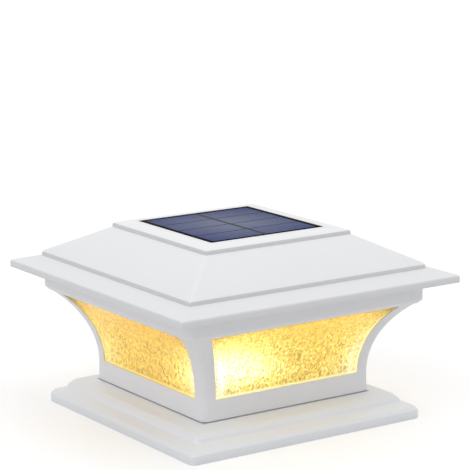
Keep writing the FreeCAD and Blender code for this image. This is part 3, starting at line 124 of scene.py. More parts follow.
class Paint:
    """Node tree of a material or of the world."""

    def __init__(self, owner):
        self.owner = owner
        owner.use_nodes = True
        self.tree = owner.node_tree
        self.tree.nodes.clear()

    def node(self, kind, settings=None, sockets=None, out=0):
        """Add a node: first its settings, then its inputs; returns one output."""
        made = self.tree.nodes.new(kind)
        for key, setting in (settings or {}).items():
            if key == "stops":
                ramp = made.color_ramp
                while len(ramp.elements) < len(setting):
                    ramp.elements.new(0.5)
                for element, (position, colour) in zip(ramp.elements, setting):
                    element.position = position
                    element.color = colour
            else:
                setattr(made, key, setting)
        for key, given in (sockets or {}).items():
            if isinstance(given, Value):
                self.tree.links.new(given.socket, made.inputs[key])
            else:
                made.inputs[key].default_value = given
        return Value(self, made.outputs[out]) if made.outputs else None

    def maths(self, operation, *given):
        return self.node("ShaderNodeMath", {"operation": operation}, dict(enumerate(given)))

    def larger(self, first, second):
        return self.maths("MAXIMUM", first, second)

    def smaller(self, first, second):
        return self.maths("MINIMUM", first, second)

    def above(self, value, limit):
        """1 where a value is above a limit, 0 elsewhere."""
        return self.maths("GREATER_THAN", value, limit)

    def distance(self, value, mark):
        """How far a value is from a mark, on either side."""
        return self.maths("ABSOLUTE", value - mark)

    def between(self, factor, low, high):
        """Map a factor to a range, held at its ends."""
        return self.node("ShaderNodeMapRange", {"clamp": True}, {
            "Value": factor, "To Min": low, "To Max": high})

    def fade(self, value, start, end, strength=1.0):
        """From a strength at the start value to 0 at the end value."""
        return self.node("ShaderNodeMapRange", {"clamp": True}, {
            "Value": value, "From Min": start, "From Max": end,
            "To Min": strength, "To Max": 0.0})

    def place(self, scale=(1.0, 1.0, 1.0)):
        """Object coordinates in metres, scaled."""
        coords = self.node("ShaderNodeTexCoord", out="Object")
        return self.node("ShaderNodeMapping", {}, {"Vector": coords, "Scale": scale})

    def strokes(self, length, turn):
        """Object coordinates for a pattern that is drawn out along a turned upright."""
        coords = self.node("ShaderNodeTexCoord", out="Object")
        return self.node("ShaderNodeMapping", {"vector_type": "TEXTURE"}, {
            "Vector": coords, "Scale": (1.0, 1.0, length), "Rotation": turn})

    def all_sides(self, vector):
        """The X, Y and Z of a vector made positive, so that the four sides are alike."""
        positive = self.node("ShaderNodeVectorMath", {"operation": "ABSOLUTE"}, {0: vector})
        return self.axes(positive)

    def axes(self, vector):
        """The X, Y and Z of a vector."""
        parts = self.node("ShaderNodeSeparateXYZ", {}, {0: vector})
        return [Value(self, socket) for socket in parts.socket.node.outputs]

    def cloud(self, vector, scale, detail=3.0, roughness=0.5, distortion=0.0):
        """Soft noise from 0 to 1."""
        return self.node("ShaderNodeTexNoise", {}, {
            "Vector": vector, "Scale": scale, "Detail": detail,
            "Roughness": roughness, "Distortion": distortion})

    def crystals(self, scale):
        """Flat grains of one grey each, the same at every height."""
        grain = self.node("ShaderNodeTexVoronoi", {}, {
            "Vector": self.place((1.0, 1.0, 0.0)), "Scale": scale}, out="Color")
        return self.node("ShaderNodeSeparateColor", {}, {"Color": grain})

    def ball(self, scale):
        """1 at the origin, falling to 0 at a radius of 1 / scale."""
        return self.node("ShaderNodeTexGradient", {"gradient_type": "SPHERICAL"}, {
            "Vector": self.place((scale, scale, 0.0))})

    def fingers(self, scale, start, end):
        """Fine lines across X, from 0 at the start of a wave's crest to 1 at its end."""
        waves = self.node("ShaderNodeTexWave", {"bands_direction": "X"}, {
            "Vector": self.place(), "Scale": scale, "Distortion": 0.0})
        return self.ramp(waves, [(0.0, BLACK), (start, BLACK), (end, WHITE)])

    def ramp(self, factor, stops):
        """Colour ramp with (position, colour) stops."""
        return self.node("ShaderNodeValToRGB", {"stops": stops}, {"Fac": factor})

    def blend(self, factor, first, second, way="MIX"):
        """Mix two colours."""
        return self.node("ShaderNodeMix", {"data_type": "RGBA", "blend_type": way}, {
            0: factor, 6: first, 7: second}, out=2)

    def bump(self, height, distance):
        return self.node("ShaderNodeBump", {}, {"Height": height, "Distance": distance})

    def seen_white(self):
        """1 where the eye, a reflection or a clear piece shows the surface, 0 for other light."""
        seen, mirrored, passed = [
            self.node("ShaderNodeLightPath", out=f"Is {way} Ray")
            for way in ("Camera", "Glossy", "Transmission")]
        return self.larger(self.larger(seen, mirrored), passed)

    def principled(self, sockets):
        """Close the tree with one Principled surface."""
        shader = self.node("ShaderNodeBsdfPrincipled", {}, sockets)
        self.node("ShaderNodeOutputMaterial", {}, {"Surface": shader})
        return self.owner


BLACK = (0.0, 0.0, 0.0, 1.0)
WHITE = (1.0, 1.0, 1.0, 1.0)


def rgba(colour, gain=1.0):
    return tuple(min(1.0, part * gain) for part in colour[:3]) + (1.0,)


def new_paint(name):
    return Paint(bpy.data.materials.new(name))


# ---- finishes: plastics, metals, rubber ---------------------------------------------------
# Painted shade in the plastic, darker rings where shade falls: least and most height, least and
# most half width, strength.
# Painted shade in the gap where the lantern's body sits on the base.
BASE_SHADE_MARKS = (
    (BODY_FOOT - 0.72 * MM, BODY_FOOT + 9.0 * MM, BODY_HALF - 2.0 * MM, BODY_HALF + 0.3 * MM, 0.5),
)
# Painted shade on the roof: its two step risers, the faces under the brim and the brim's outer
# edge, darker as if lit from above.
ROOF_SHADE_MARKS = (
    (98.9 * MM, 101.5 * MM, 89.0 * MM, 90.4 * MM, 0.27),
    (119.4 * MM, 122.0 * MM, 54.8 * MM, 56.4 * MM, 0.27),
    (80.0 * MM, 98.9 * MM, 89.0 * MM, 104.5 * MM, 0.09),
    (80.0 * MM, 98.9 * MM, 104.5 * MM, 120.0 * MM, 0.17),
)
# Grey of the painted shade in the plastic's steps and gaps.
PAINTED_SHADE_GREY = (0.10, 0.10, 0.105)
PLASTIC_GRAIN = 2600.0
PLASTIC_TONE = 24.0
FLOW_STRETCH = (6.0, 6.0, 160.0)
TONE_CHANGE = 0.03
GRAIN_HEIGHT = 0.03 * MM
METAL_STRETCH = (1.0, 1.0, 14.0)
METAL_HEIGHT = 0.02 * MM


def moulded_plastic(name, colour, roughness=0.42, grain=0.5, marks=()):
    """Satin injection-moulded plastic: fine grain, faint flow lines, slow change of tone.

    Each mark is a ring of painted shade, darker where shade falls in a step or a gap: its least
    and most height and half width, and its strength.
    """
    paint = new_paint(name)
    fine = paint.cloud(paint.place(), PLASTIC_GRAIN, 2.0)
    broad = paint.cloud(paint.place(), PLASTIC_TONE)
    flow = paint.cloud(paint.place(FLOW_STRETCH), 3.0, 4.0)
    tone = paint.between(broad * 0.7 + flow * 0.3, 1.0 - TONE_CHANGE, 1.0)
    shade = paint.blend(tone, BLACK, rgba(colour))
    x, y, height = paint.all_sides(paint.place())
    reach = paint.larger(x, y)
    # Painted shade: each mark darkens a ring of the plastic where shade falls.
    for low, high, inner, outer, strength in marks:
        level = paint.above(height, low) * paint.above(high, height)
        painted_shade = level * paint.above(reach, inner) * paint.above(outer, reach)
        shade = paint.blend(painted_shade * strength, shade, rgba(PAINTED_SHADE_GREY))
    gloss = paint.between(broad * 0.5 + fine * 0.5, roughness - 0.05, roughness + 0.06)
    return paint.principled({
        "Base Color": shade, "Roughness": gloss, "IOR": 1.46, "Specular IOR Level": 0.4,
        "Normal": paint.bump(fine, GRAIN_HEIGHT * grain)})


def brushed_metal(name, colour, roughness):
    """Plated metal with fine turning marks."""
    paint = new_paint(name)
    marks = paint.cloud(paint.place(METAL_STRETCH), 900.0)
    spots = paint.cloud(paint.place(), 260.0, 2.0)
    return paint.principled({
        "Base Color": paint.blend(spots, rgba(colour, 0.82), rgba(colour, 1.08)),
        "Metallic": 1.0,
        "Roughness": paint.between(marks, roughness - 0.1, roughness + 0.14),
        "Normal": paint.bump(marks, METAL_HEIGHT)})


def soft_rubber(name, colour, roughness):
    """Matt rubber with pores and a pale bloom."""
    paint = new_paint(name)
    pores = paint.cloud(paint.place(), 1800.0)
    bloom = paint.cloud(paint.place(), 90.0, 2.0)
    return paint.principled({
        "Base Color": paint.blend(bloom, rgba(colour, 0.8), rgba(colour, 1.25)),
        "Roughness": paint.between(pores, roughness - 0.1, roughness + 0.1),
        "Normal": paint.bump(pores, GRAIN_HEIGHT)})


# ---- finishes: board and battery ----------------------------------------------------------
MASK_GREEN = (0.02, 0.11, 0.045)
TRACK_GREEN = (0.07, 0.24, 0.09)
TIN = (0.72, 0.72, 0.7)
TRACK_SQUARES = 120.0
TRACKS_PER_SQUARE = 7.0
TRACK_SHARE = 0.74
PAD_SCALE = 330.0
PAD_RADIUS = 0.17
WRAP_GREEN = (0.06, 0.26, 0.15)
BAND_CREAM = (0.8, 0.8, 0.76)
CELL_METAL = (0.7, 0.7, 0.69)
BARE_FOOT = 0.9 * MM
BARE_HEAD = 1.9 * MM
BAND_START = 12.0 * MM
BAND_END = 7.5 * MM


def circuit_board(name):
    """Green solder mask over nested square tracks, with tinned pads where they meet."""
    paint = new_paint(name)
    spot = paint.place()
    squares = paint.node("ShaderNodeTexVoronoi", {"distance": "CHEBYCHEV"}, {
        "Vector": spot, "Scale": TRACK_SQUARES, "Randomness": 0.7})
    track = paint.above(paint.maths("FRACT", squares * TRACKS_PER_SQUARE), TRACK_SHARE)
    dots = paint.node("ShaderNodeTexVoronoi", {}, {
        "Vector": spot, "Scale": PAD_SCALE, "Randomness": 0.35})
    pad = paint.above(PAD_RADIUS, dots)
    weave = paint.cloud(spot, 1500.0, 2.0)
    tracked = paint.blend(track * 0.75, rgba(MASK_GREEN), rgba(TRACK_GREEN))
    return paint.principled({
        "Base Color": paint.blend(pad, tracked, rgba(TIN)), "Metallic": pad * 0.9,
        "Roughness": paint.between(weave, 0.26, 0.4), "Coat Weight": 0.3,
        "Normal": paint.bump(track * 0.6 + weave * 0.2, 0.04 * MM)})


def battery_finish(name):
    """Printed wrap of a dry cell that lies along X: bare metal ends and one pale band."""
    paint = new_paint(name)
    low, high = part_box("battery_cell")
    along = paint.axes(paint.place())[0]
    bare = paint.larger(
        paint.above(low[0] + BARE_FOOT, along), paint.above(along, high[0] - BARE_HEAD))
    banded = paint.above(along, high[0] - BAND_START) * paint.above(high[0] - BAND_END, along)
    scuff = paint.cloud(paint.place((1.0, 8.0, 8.0)), 160.0, 4.0)
    printed = paint.blend(banded, rgba(WRAP_GREEN), rgba(BAND_CREAM))
    worn = paint.blend(paint.between(scuff, 0.0, 0.25), printed, rgba(WRAP_GREEN, 1.5))
    return paint.principled({
        "Base Color": paint.blend(bare, worn, rgba(CELL_METAL)), "Metallic": bare,
        "Roughness": paint.between(scuff, 0.2, 0.36), "Coat Weight": 0.2})


# ---- finishes: solar panel ----------------------------------------------------------------
FIELD_HALF = 39.3 * MM
COLUMN_GAP_HALF = 1.4 * MM
ROW_STEP = 19.8 * MM
ROW_GAP_HALF = 0.5 * MM
CRYSTAL_SCALE = 420.0
CONTACT_GREY = (0.30, 0.33, 0.45)
ROW_BLUE = (0.022, 0.026, 0.07)
COLUMN_GREY = (0.085, 0.085, 0.10)
BORDER_BLACK = (0.006, 0.006, 0.009)


def solar_silicon(name, deep, pale):
    """Dark blue cells with fine contact lines, paler towards the middle of the panel as a painted
    reflection.
    """
    paint = new_paint(name)
    crystal = paint.crystals(CRYSTAL_SCALE)
    # Painted reflection: the cells pale towards the panel's middle.
    tone = paint.between(paint.ball(17.0) * 0.9 + crystal * 0.14, 0.0, 1.0)
    shade = paint.blend(tone, rgba(deep), rgba(pale))
    lines = paint.fingers(200.0, 0.93, 0.985)
    return paint.principled({
        "Base Color": paint.blend(lines * 0.22, shade, rgba(CONTACT_GREY)),
        "Roughness": paint.between(crystal, 0.28, 0.4), "Specular IOR Level": 0.1})


def solar_laminate(name, deep, pale):
    """Cells cast in resin just under the surface: black border, two columns, four rows.

    The cells pale towards the middle of the panel, a painted reflection.
    """
    paint = new_paint(name)
    across, along, _ = paint.all_sides(paint.place())
    drift = paint.cloud(paint.place((1.0, 1.0, 0.0)), 30.0, 2.0)
    # Painted reflection: the cells pale towards the panel's middle.
    light = paint.ball(18.0) * 1.1 + paint.crystals(CRYSTAL_SCALE) * 0.12 + drift * 0.3 - 0.12
    cell = paint.blend(paint.between(light, 0.0, 1.0), rgba(deep), rgba(pale))
    lines = paint.fingers(130.0, 0.90, 0.98)
    printed = paint.blend(lines * 0.10, cell, rgba(CONTACT_GREY))
    row = paint.above(paint.smaller(along, paint.distance(along, ROW_STEP)), ROW_GAP_HALF)
    rowed = paint.blend(row, rgba(ROW_BLUE), printed)
    columned = paint.blend(paint.above(across, COLUMN_GAP_HALF), rgba(COLUMN_GREY), rowed)
    border = paint.above(paint.larger(across, along), FIELD_HALF)
    haze = paint.cloud(paint.place((1.0, 3.0, 1.0)), 45.0)
    return paint.principled({
        "Base Color": paint.blend(border, columned, rgba(BORDER_BLACK)),
        "Roughness": paint.between(haze, 0.3, 0.42), "Specular IOR Level": 0.0,
        "Coat Weight": 0.06, "Coat Roughness": 0.08})


# ---- finishes: window panes and lamp ------------------------------------------------------
# Painted light in the panes: reach of the lamp's light, heights of the flare and of the deeper
# gold at the top, the flare near the ribs, its bright line and the glowing rims.
LAMP_MIDDLE = (0.0, 0.0, 0.036)
LIT_REACH = (98 * MM, 124 * MM)
LOW_LIGHT = (40 * MM, 70 * MM)
TOP_SHADE_HEIGHTS = (88 * MM, 52 * MM)
RIB_FLARE_REACH = (3 * MM, 24 * MM)
RIB_LINE = 5 * MM
RIB_FLARE_FADE = (1.0 * MM, 3.2 * MM)
RIM_GLOW_FADE = (0.8 * MM, 1.8 * MM)
STROKE_LENGTH = 1.9
STROKE_TURN = (-0.33, 0.33, 0.0)
RIPPLE_SCALE = 880.0
DIMPLE_SCALE = 760.0
RIPPLE_HEIGHT = 0.4 * MM
# Colours of the panes; most of them paint the lamp's light and shade over the gold.
STRAW_HIGHLIGHT = (1.0, 0.96, 0.66)
GOLD = (0.95, 0.65, 0.08)
TOP_SHADE_GOLD = (0.95, 0.60, 0.07)
UMBER = (0.30, 0.19, 0.025)
TIP_SHADE_BROWN = (0.12, 0.065, 0.006)
LIT_WHITE = (1.0, 0.99, 0.90)
FLARE_CLEAR_WHITE = (1.0, 1.0, 0.95)
FLANK_SHADE_GOLD = (0.88, 0.76, 0.42)
CLEAR_SHARE = 0.36
# Strength of the panes' painted glow.
PANE_GLOW = 0.24
SHADE_CREAM = (1.0, 0.95, 0.85)
PHOSPHOR = (1.0, 0.8, 0.35)
SHADE_GLOW = 7.0
PHOSPHOR_GLOW = 2.0


def amber_pane(name, tint, glow):
    """Hammered plastic, lit from behind: it passes the lamp's light and glows by itself, a painted
    glow.

    Its colour paints the lamp's light and shade over the gold: highlights and specks over the
    dents, a white flare near the ribs low down, glowing rims, a deeper gold towards the top and
    brown tips away from the lamp. The panes at the left and right sides are painted a darker gold
    than those at the front and back, as painted shade.
    """
    paint = new_paint(name)
    spot = paint.place()
    x, y, height = paint.all_sides(spot)
    strokes = paint.strokes(STROKE_LENGTH, STROKE_TURN)
    ripple = paint.cloud(strokes, RIPPLE_SCALE, 3.0, 0.6, 0.7)
    dimples = paint.node("ShaderNodeTexVoronoi", {"feature": "F1"}, {
        "Vector": strokes, "Scale": DIMPLE_SCALE})
    dents = paint.node("ShaderNodeAttribute", {"attribute_name": "dent"}, out="Fac")
    # The pane's own gold, with painted pale straw highlights and painted dark umber specks over
    # its dents.
    colour = paint.ramp(ripple * 0.9 + dimples * 0.35 - dents * 0.18, [
        (0.38, rgba(STRAW_HIGHLIGHT)), (0.46, rgba(glow)), (0.55, rgba(GOLD)), (0.62, rgba(UMBER))])

    side = (SIDE_RADIUS ** 2 - (height - SILL_Z) ** 2.0) ** 0.5
    edge = SIDE_CENTRE - side - paint.smaller(x, y)
    # Painted highlight: white streaks near the ribs and a bright line beside them, low down in the
    # pane.
    streaks = paint.ramp(ripple, [(0.44, WHITE), (0.52, BLACK)])
    near_rib = paint.fade(edge, *RIB_FLARE_REACH) * streaks * 0.9
    beside_rib = paint.fade(paint.distance(edge, RIB_LINE), *RIB_FLARE_FADE, 0.55)
    bright = paint.larger(near_rib, beside_rib) * paint.fade(height, *LOW_LIGHT)
    # Painted glow along the pane's rims.
    rim = paint.fade(paint.smaller(edge, height - SILL_Z), *RIM_GLOW_FADE, 0.85)
    away = paint.node("ShaderNodeVectorMath", {"operation": "DISTANCE"}, {
        0: spot, 1: LAMP_MIDDLE}, out="Value")

    # Painted shade: a deeper gold towards the top of the pane.
    deeper = paint.blend(paint.fade(height, *TOP_SHADE_HEIGHTS, 0.6), colour, rgba(TOP_SHADE_GOLD))
    # Painted highlight: the white flare near the ribs.
    brighter = paint.blend(bright, deeper, rgba(LIT_WHITE))
    lined = paint.blend(rim, brighter, rgba(STRAW_HIGHLIGHT))
    # Painted shade: the panes at the left and right sides darker than those at the front and back.
    flank = paint.blend(paint.above(x, y), lined, rgba(FLANK_SHADE_GOLD), "MULTIPLY")
    # Painted shade: browner away from the lamp, towards the pane's tips.
    light = paint.blend(paint.fade(away, *LIT_REACH), rgba(TIP_SHADE_BROWN), flank)
    # Painted highlight: the light through the pane turns white in the flare.
    clear = paint.blend(bright, rgba(tint), rgba(FLARE_CLEAR_WHITE))
    return paint.principled({
        "Base Color": paint.blend(CLEAR_SHARE, light, clear),
        "Roughness": paint.between(ripple, 0.06, 0.22), "IOR": 1.45,
        "Specular IOR Level": 0.25, "Transmission Weight": 0.85,
        # Painted glow: the pane's light colour shines as emission.
        "Emission Color": light, "Emission Strength": PANE_GLOW,
        "Normal": paint.bump(ripple, RIPPLE_HEIGHT)})


def lamp_glow(name, colour, strength):
    """Frosted shade with the lamp lit behind it."""
    paint = new_paint(name)
    haze = paint.cloud(paint.place(), 140.0, 2.0)
    return paint.principled({
        "Base Color": rgba(SHADE_CREAM), "Roughness": 0.5,
        "Emission Color": paint.blend(haze, rgba(colour, 0.94), rgba(colour)),
        "Emission Strength": strength})


# ---- finishes by the record's material slots ----------------------------------------------
# Slot, colour, roughness and, for the plastics, height of the grain.
INNER_PLASTICS = (
    ("tray_plastic", (0.78, 0.78, 0.77), 0.5, 0.8),
    ("reflector_white", (0.93, 0.92, 0.90), 0.3, 0.2),
    ("led_board_white", (0.9, 0.9, 0.88), 0.35, 0.5),
    ("component_black", (0.04, 0.04, 0.045), 0.45, 0.5),
    ("slider_black", (0.03, 0.03, 0.032), 0.5, 1.0),
)
RUBBERS = (
    ("seal_rubber", (0.045, 0.045, 0.047), 0.65),
    ("wire_red", (0.5, 0.03, 0.02), 0.45),
    ("wire_black", (0.03, 0.03, 0.03), 0.45),
)
METALS = (
    ("screw_steel", (0.62, 0.61, 0.59), 0.3),
    ("contact_metal", (0.75, 0.73, 0.68), 0.22),
)
MATERIALS = {}


def make_materials(colours):
    """One material for each slot of the record."""
    deep, pale = colours.cell_deep, colours.cell_pale_reflection
    made = {
        "base_white": moulded_plastic("base_white_plastic", colours.base, marks=BASE_SHADE_MARKS),
        "body_white": moulded_plastic("body_white_plastic", colours.body),
        "roof_white": moulded_plastic("roof_white_plastic", colours.roof, marks=ROOF_SHADE_MARKS),
        "battery_wrap": battery_finish("battery_wrap"),
        "circuit_board": circuit_board("circuit_board"),
        "pane": amber_pane("hammered_amber", colours.pane_tint, colours.pane_glow),
        "frosted": lamp_glow("frosted_shade", colours.lamp, SHADE_GLOW),
        "led_yellow": lamp_glow("led_phosphor", PHOSPHOR, PHOSPHOR_GLOW),
        "solar_cell": solar_silicon("solar_silicon", deep, pale),
        "panel_glass": solar_laminate("solar_laminate", deep, pale),
    }
    for finish, rows in (
            (moulded_plastic, INNER_PLASTICS), (soft_rubber, RUBBERS), (brushed_metal, METALS)):
        for slot, *look in rows:
            made[slot] = finish(slot, *look)
    return made


def need_finishes():
    if not MATERIALS:
        raise RuntimeError("The finishes aren't made yet: run Finishes first")


def dress(*nodes):
    """Give CAD nodes the material of their slot."""
    need_finishes()
    slots = {part["node"]: part["material_slot"] for part in frame["record"]["subparts"]}
    for name in nodes:
        piece = frame["nodes"][name]
        piece.data.materials.clear()
        piece.data.materials.append(MATERIALS[slots[name]])


# ---- settings -----------------------------------------------------------------------------
class CapLightColours(bpy.types.PropertyGroup):
    base: bpy.props.FloatVectorProperty(
        name="Base", description="White of the base", subtype="COLOR",
        default=(0.91, 0.935, 0.975), min=0.0, max=1.0)
    body: bpy.props.FloatVectorProperty(
        name="Body", description="White of the lantern's body", subtype="COLOR",
        default=(0.89, 0.895, 0.925), min=0.0, max=1.0)
    roof: bpy.props.FloatVectorProperty(
        name="Roof", description="White of the roof", subtype="COLOR",
        default=(0.915, 0.92, 0.93), min=0.0, max=1.0)
    pane_tint: bpy.props.FloatVectorProperty(
        name="Pane tint", description="Colour that the panes give to light that passes them",
        subtype="COLOR", default=(1.0, 0.92, 0.46), min=0.0, max=1.0)
    # The panes' glow is painted light.
    pane_glow: bpy.props.FloatVectorProperty(
        name="Pane glow", description="Colour of the light scattered in the panes",
        subtype="COLOR", default=(1.0, 0.83, 0.22), min=0.0, max=1.0)
    lamp: bpy.props.FloatVectorProperty(
        name="Lamp", description="Colour of the lamp behind its frosted shade",
        subtype="COLOR", default=(1.0, 0.965, 0.90), min=0.0, max=1.0)
    cell_deep: bpy.props.FloatVectorProperty(
        name="Cells, edge", description="Blue of the solar cells near the panel's edge",
        subtype="COLOR", default=(0.052, 0.068, 0.185), min=0.0, max=1.0)
    # The paler blue of the panel's middle is a painted reflection.
    cell_pale_reflection: bpy.props.FloatVectorProperty(
        name="Cells, middle", description="Blue of the solar cells in the panel's middle",
        subtype="COLOR", default=(0.185, 0.205, 0.30), min=0.0, max=1.0)


class CapLightSizes(bpy.types.PropertyGroup):
    pane_grid: bpy.props.FloatProperty(
        name="Pane grid", description="Distance between the corners of a pane's mesh",
        subtype="DISTANCE", precision=5, default=0.00075, min=0.0003, max=0.003)
    hammer_pitch: bpy.props.FloatProperty(
        name="Hammer pitch", description="Distance between the dents of the panes",
        subtype="DISTANCE", precision=5, default=0.0026, min=0.001, max=0.012)
    hammer_depth: bpy.props.FloatProperty(
        name="Hammer depth", description="Depth of the dents of the panes",
        subtype="DISTANCE", precision=5, default=0.00042, min=0.0, max=0.001)


class CapLightStage(bpy.types.PropertyGroup):
    sky: bpy.props.FloatProperty(
        name="Room light", description="Brightness of the white room",
        default=0.53, min=0.0, max=3.0)
    right_light: bpy.props.FloatProperty(
        name="Right light", description="Strength of the soft light from the right",
        default=0.57, min=0.0, max=10.0)
    left_light: bpy.props.FloatProperty(
        name="Left light", description="Strength of the soft light from the left",
        default=0.6, min=0.0, max=10.0)
    back_light: bpy.props.FloatProperty(
        name="Back light", description="Strength of the soft light from high behind",
        default=0.41, min=0.0, max=10.0)
    floor: bpy.props.FloatVectorProperty(
        name="Floor", description="Colour of the floor", subtype="COLOR",
        default=(0.755, 0.76, 0.77), min=0.0, max=1.0)


# ---- mesh tools ---------------------------------------------------------------------------
def quad_sheet(bm, columns, rows, place):
    """Grid of quads whose corners go where place(vert, column, row) says."""
    grid = bmesh.ops.create_grid(bm, x_segments=columns, y_segments=rows, size=1.0)
    for vert in grid["verts"]:
        column = round((vert.co.x + 1) / 2 * columns)
        row = round((vert.co.y + 1) / 2 * rows)
        vert.co = place(vert, column, row)
    return grid["verts"]


def ease_edges(bm, edges, offset, segments=2):
    bmesh.ops.bevel(
        bm, geom=edges, offset=offset, segments=segments, profile=0.5, affect="EDGES",
        material=-1)


def finish_piece(name, bm, body, slot, node, smooth_angle=30.0):
    """Turn a bmesh into a piece that rides on a body and stands for a CAD node."""
    bmesh.ops.remove_doubles(bm, verts=bm.verts, dist=MERGE)
    bmesh.ops.recalc_face_normals(bm, faces=bm.faces)
    limit = math.radians(smooth_angle)
    for face in bm.faces:
        face.smooth = True
    for edge in bm.edges:
        edge.smooth = edge.is_manifold and edge.calc_face_angle(0.0) < limit
    mesh = bpy.data.meshes.new(name)
    bm.to_mesh(mesh)
    bm.free()
    piece = bpy.data.objects.new(name, mesh)
    bpy.context.collection.objects.link(piece)
    mesh.materials.append(MATERIALS[slot])
    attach(piece, body)
    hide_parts(node)


# ---- eased copies of CAD nodes ------------------------------------------------------------
# New piece, its node, its body, its slot, size of the eased edges.
HOUSING = (
    ("base_moulding", "base_skirt", "base", "base_white", 0.35 * MM),
    ("lantern_body", "body_frame", "lamp", "body_white", 0.3 * MM),
    ("roof_shell", "roof_cover", "lamp", "roof_white", 0.3 * MM),
)
MOVING_PIECES = (
    ("door_leaf", "battery_door", "battery_door", "tray_plastic", 0.15 * MM),
    ("switch_knob", "switch_slider", "switch_slider", "slider_black", 0.2 * MM),
)
CRISP_TURN = math.radians(32.0)
FLAT_TURN = math.radians(0.5)


def soften_node(name, node, body, slot, ease):
    """Copy a CAD node, merge its flat faces, ease its sharp edges, and show the copy."""
    need_finishes()
    bm = bmesh.new()
    bm.from_mesh(frame["nodes"][node].data)
    bmesh.ops.remove_doubles(bm, verts=bm.verts, dist=2 * MERGE)
    bmesh.ops.dissolve_limit(bm, angle_limit=FLAT_TURN, verts=bm.verts, edges=bm.edges)
    crisp = [edge for edge in bm.edges
             if edge.is_manifold and edge.calc_face_angle(0.0) > CRISP_TURN]
    ease_edges(bm, crisp, ease)
    finish_piece(name, bm, body, slot, node, 40.0)


# ---- window panes -------------------------------------------------------------------------
QUARTERS = {"front": 0, "right": 1, "back": 2, "left": 3}
PANE_OUT = 1.3 * MM
PANE_THICKNESS = 1.9 * MM
PANE_OVERLAP = 2.2 * MM
PANE_BORDER = PANE_OVERLAP + 0.6 * MM
DENT_RISE = 2.0 * MM
DENT_STRETCH = 1.25
DENT_GAIN = 1.25
DENT_POWER = 1.5
DRIFT_SCALE = 0.45
DRIFT_SHARE = 0.55
INNER_DENTS = 0.7
SIDE_SEED = 7.0
FACE_SEED = 900
# Seed of the dents' random drift, so that they are the same each run.
HAMMER_SEED = 7


def hammer_height(x, z, seed, pitch):
    """Height of the hammered face, from 0 in a dent's middle to 1 on its rim."""
    spot = Vector((x / pitch, z / (DENT_STRETCH * pitch), seed))
    drift = noise.noise_vector(spot * DRIFT_SCALE)
    nearest = noise.voronoi(spot + DRIFT_SHARE * drift)[0][0]
    return min(1.0, DENT_GAIN * nearest ** DENT_POWER)


def make_pane(word, quarter, sizes):
    """Curved sheet with real dents in both faces, one for each side of the lantern."""
    noise.seed_set(HAMMER_SEED)
    bm = bmesh.new()
    low = SILL_Z - PANE_OVERLAP
    high = HEAD_Z + PANE_OVERLAP
    rows = round((high - low) / sizes.pane_grid)
    columns = round(2 * window_half(high, PANE_OVERLAP) / sizes.pane_grid)
    dents = bm.verts.layers.float.new("dent")

    def surface(behind, sink):
        def place(vert, column, row):
            z = low + (high - low) * row / rows
            half = window_half(z, PANE_OVERLAP)
            x = half * (2 * column / columns - 1)
            margin = min(half - abs(x), z - low, high - z)
            share = max(0.0, min(1.0, (margin - PANE_BORDER) / DENT_RISE))
            seed = SIDE_SEED * quarter + behind * FACE_SEED
            hollow = share * (1.0 - hammer_height(x, z, seed, sizes.hammer_pitch))
            vert[dents] = hollow
            return Vector((x, -wall_half(z, behind + sink * hollow), z))
        return place

    depth = sizes.hammer_depth
    outer = quad_sheet(bm, columns, rows, surface(PANE_OUT, depth))
    inner = quad_sheet(
        bm, columns, rows, surface(PANE_OUT + PANE_THICKNESS, -INNER_DENTS * depth))
    rims = [edge for edge in bm.edges if edge.is_boundary]
    bmesh.ops.bridge_loops(bm, edges=rims)
    turn = Matrix.Rotation(quarter * math.pi / 2, 3, "Z")
    bmesh.ops.rotate(bm, verts=outer + inner, cent=(0, 0, 0), matrix=turn)
    finish_piece(f"hammered_pane_{word}", bm, "lamp", "pane", f"pane_{word}", 60.0)


# ---- cover of the solar panel -------------------------------------------------------------
COVER_LIFT = 0.05 * MM
COVER_CORNER = 0.8 * MM
COVER_RIM = 0.25 * MM


def make_panel_cover():
    """Sheet of resin over the solar cells, with eased edges."""
    low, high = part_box("solar_glass")
    foot = low[2] + COVER_LIFT
    bm = bmesh.new()
    size = Matrix.Diagonal((high[0] - low[0], high[1] - low[1], high[2] - foot, 1.0))
    middle = Matrix.Translation((0, 0, (foot + high[2]) / 2))
    bmesh.ops.create_cube(bm, size=1.0, matrix=middle @ size)
    upright = [edge for edge in bm.edges
               if abs(edge.verts[0].co.z - edge.verts[1].co.z) > MERGE]
    ease_edges(bm, upright, COVER_CORNER, 4)
    rim = [edge for edge in bm.edges
           if all(vert.co.z > high[2] - MERGE for vert in edge.verts)]
    ease_edges(bm, rim, COVER_RIM)
    finish_piece("panel_cover", bm, "lamp", "panel_glass", "solar_glass")


# ---- screws -------------------------------------------------------------------------------
# Word of their node, way of the shank, (radius, height) of the head, (radius, length) of the
# shank.
SCREWS = (
    ("roof", 1, (3.0 * MM, 2.2 * MM), (1.45 * MM, 12.0 * MM)),
    ("tray", 1, (2.3 * MM, 1.6 * MM), (1.3 * MM, 7.5 * MM)),
    ("board", -1, (1.8 * MM, 1.2 * MM), (0.9 * MM, 3.2 * MM)),
)
SCREW_STEPS = 28
HEAD_EASE = 0.25 * MM
THREAD_PITCH = 1.0 * MM
THREAD_ROOT = 0.78
POINT_SHARE = 0.8
# Cross in a screw's head, as shares of the head's radius; the taper is its floor's share.
CROSS_ARM = 0.62
CROSS_WIDTH = 0.17
CROSS_DEPTH = 0.38
CROSS_TAPER = 0.62


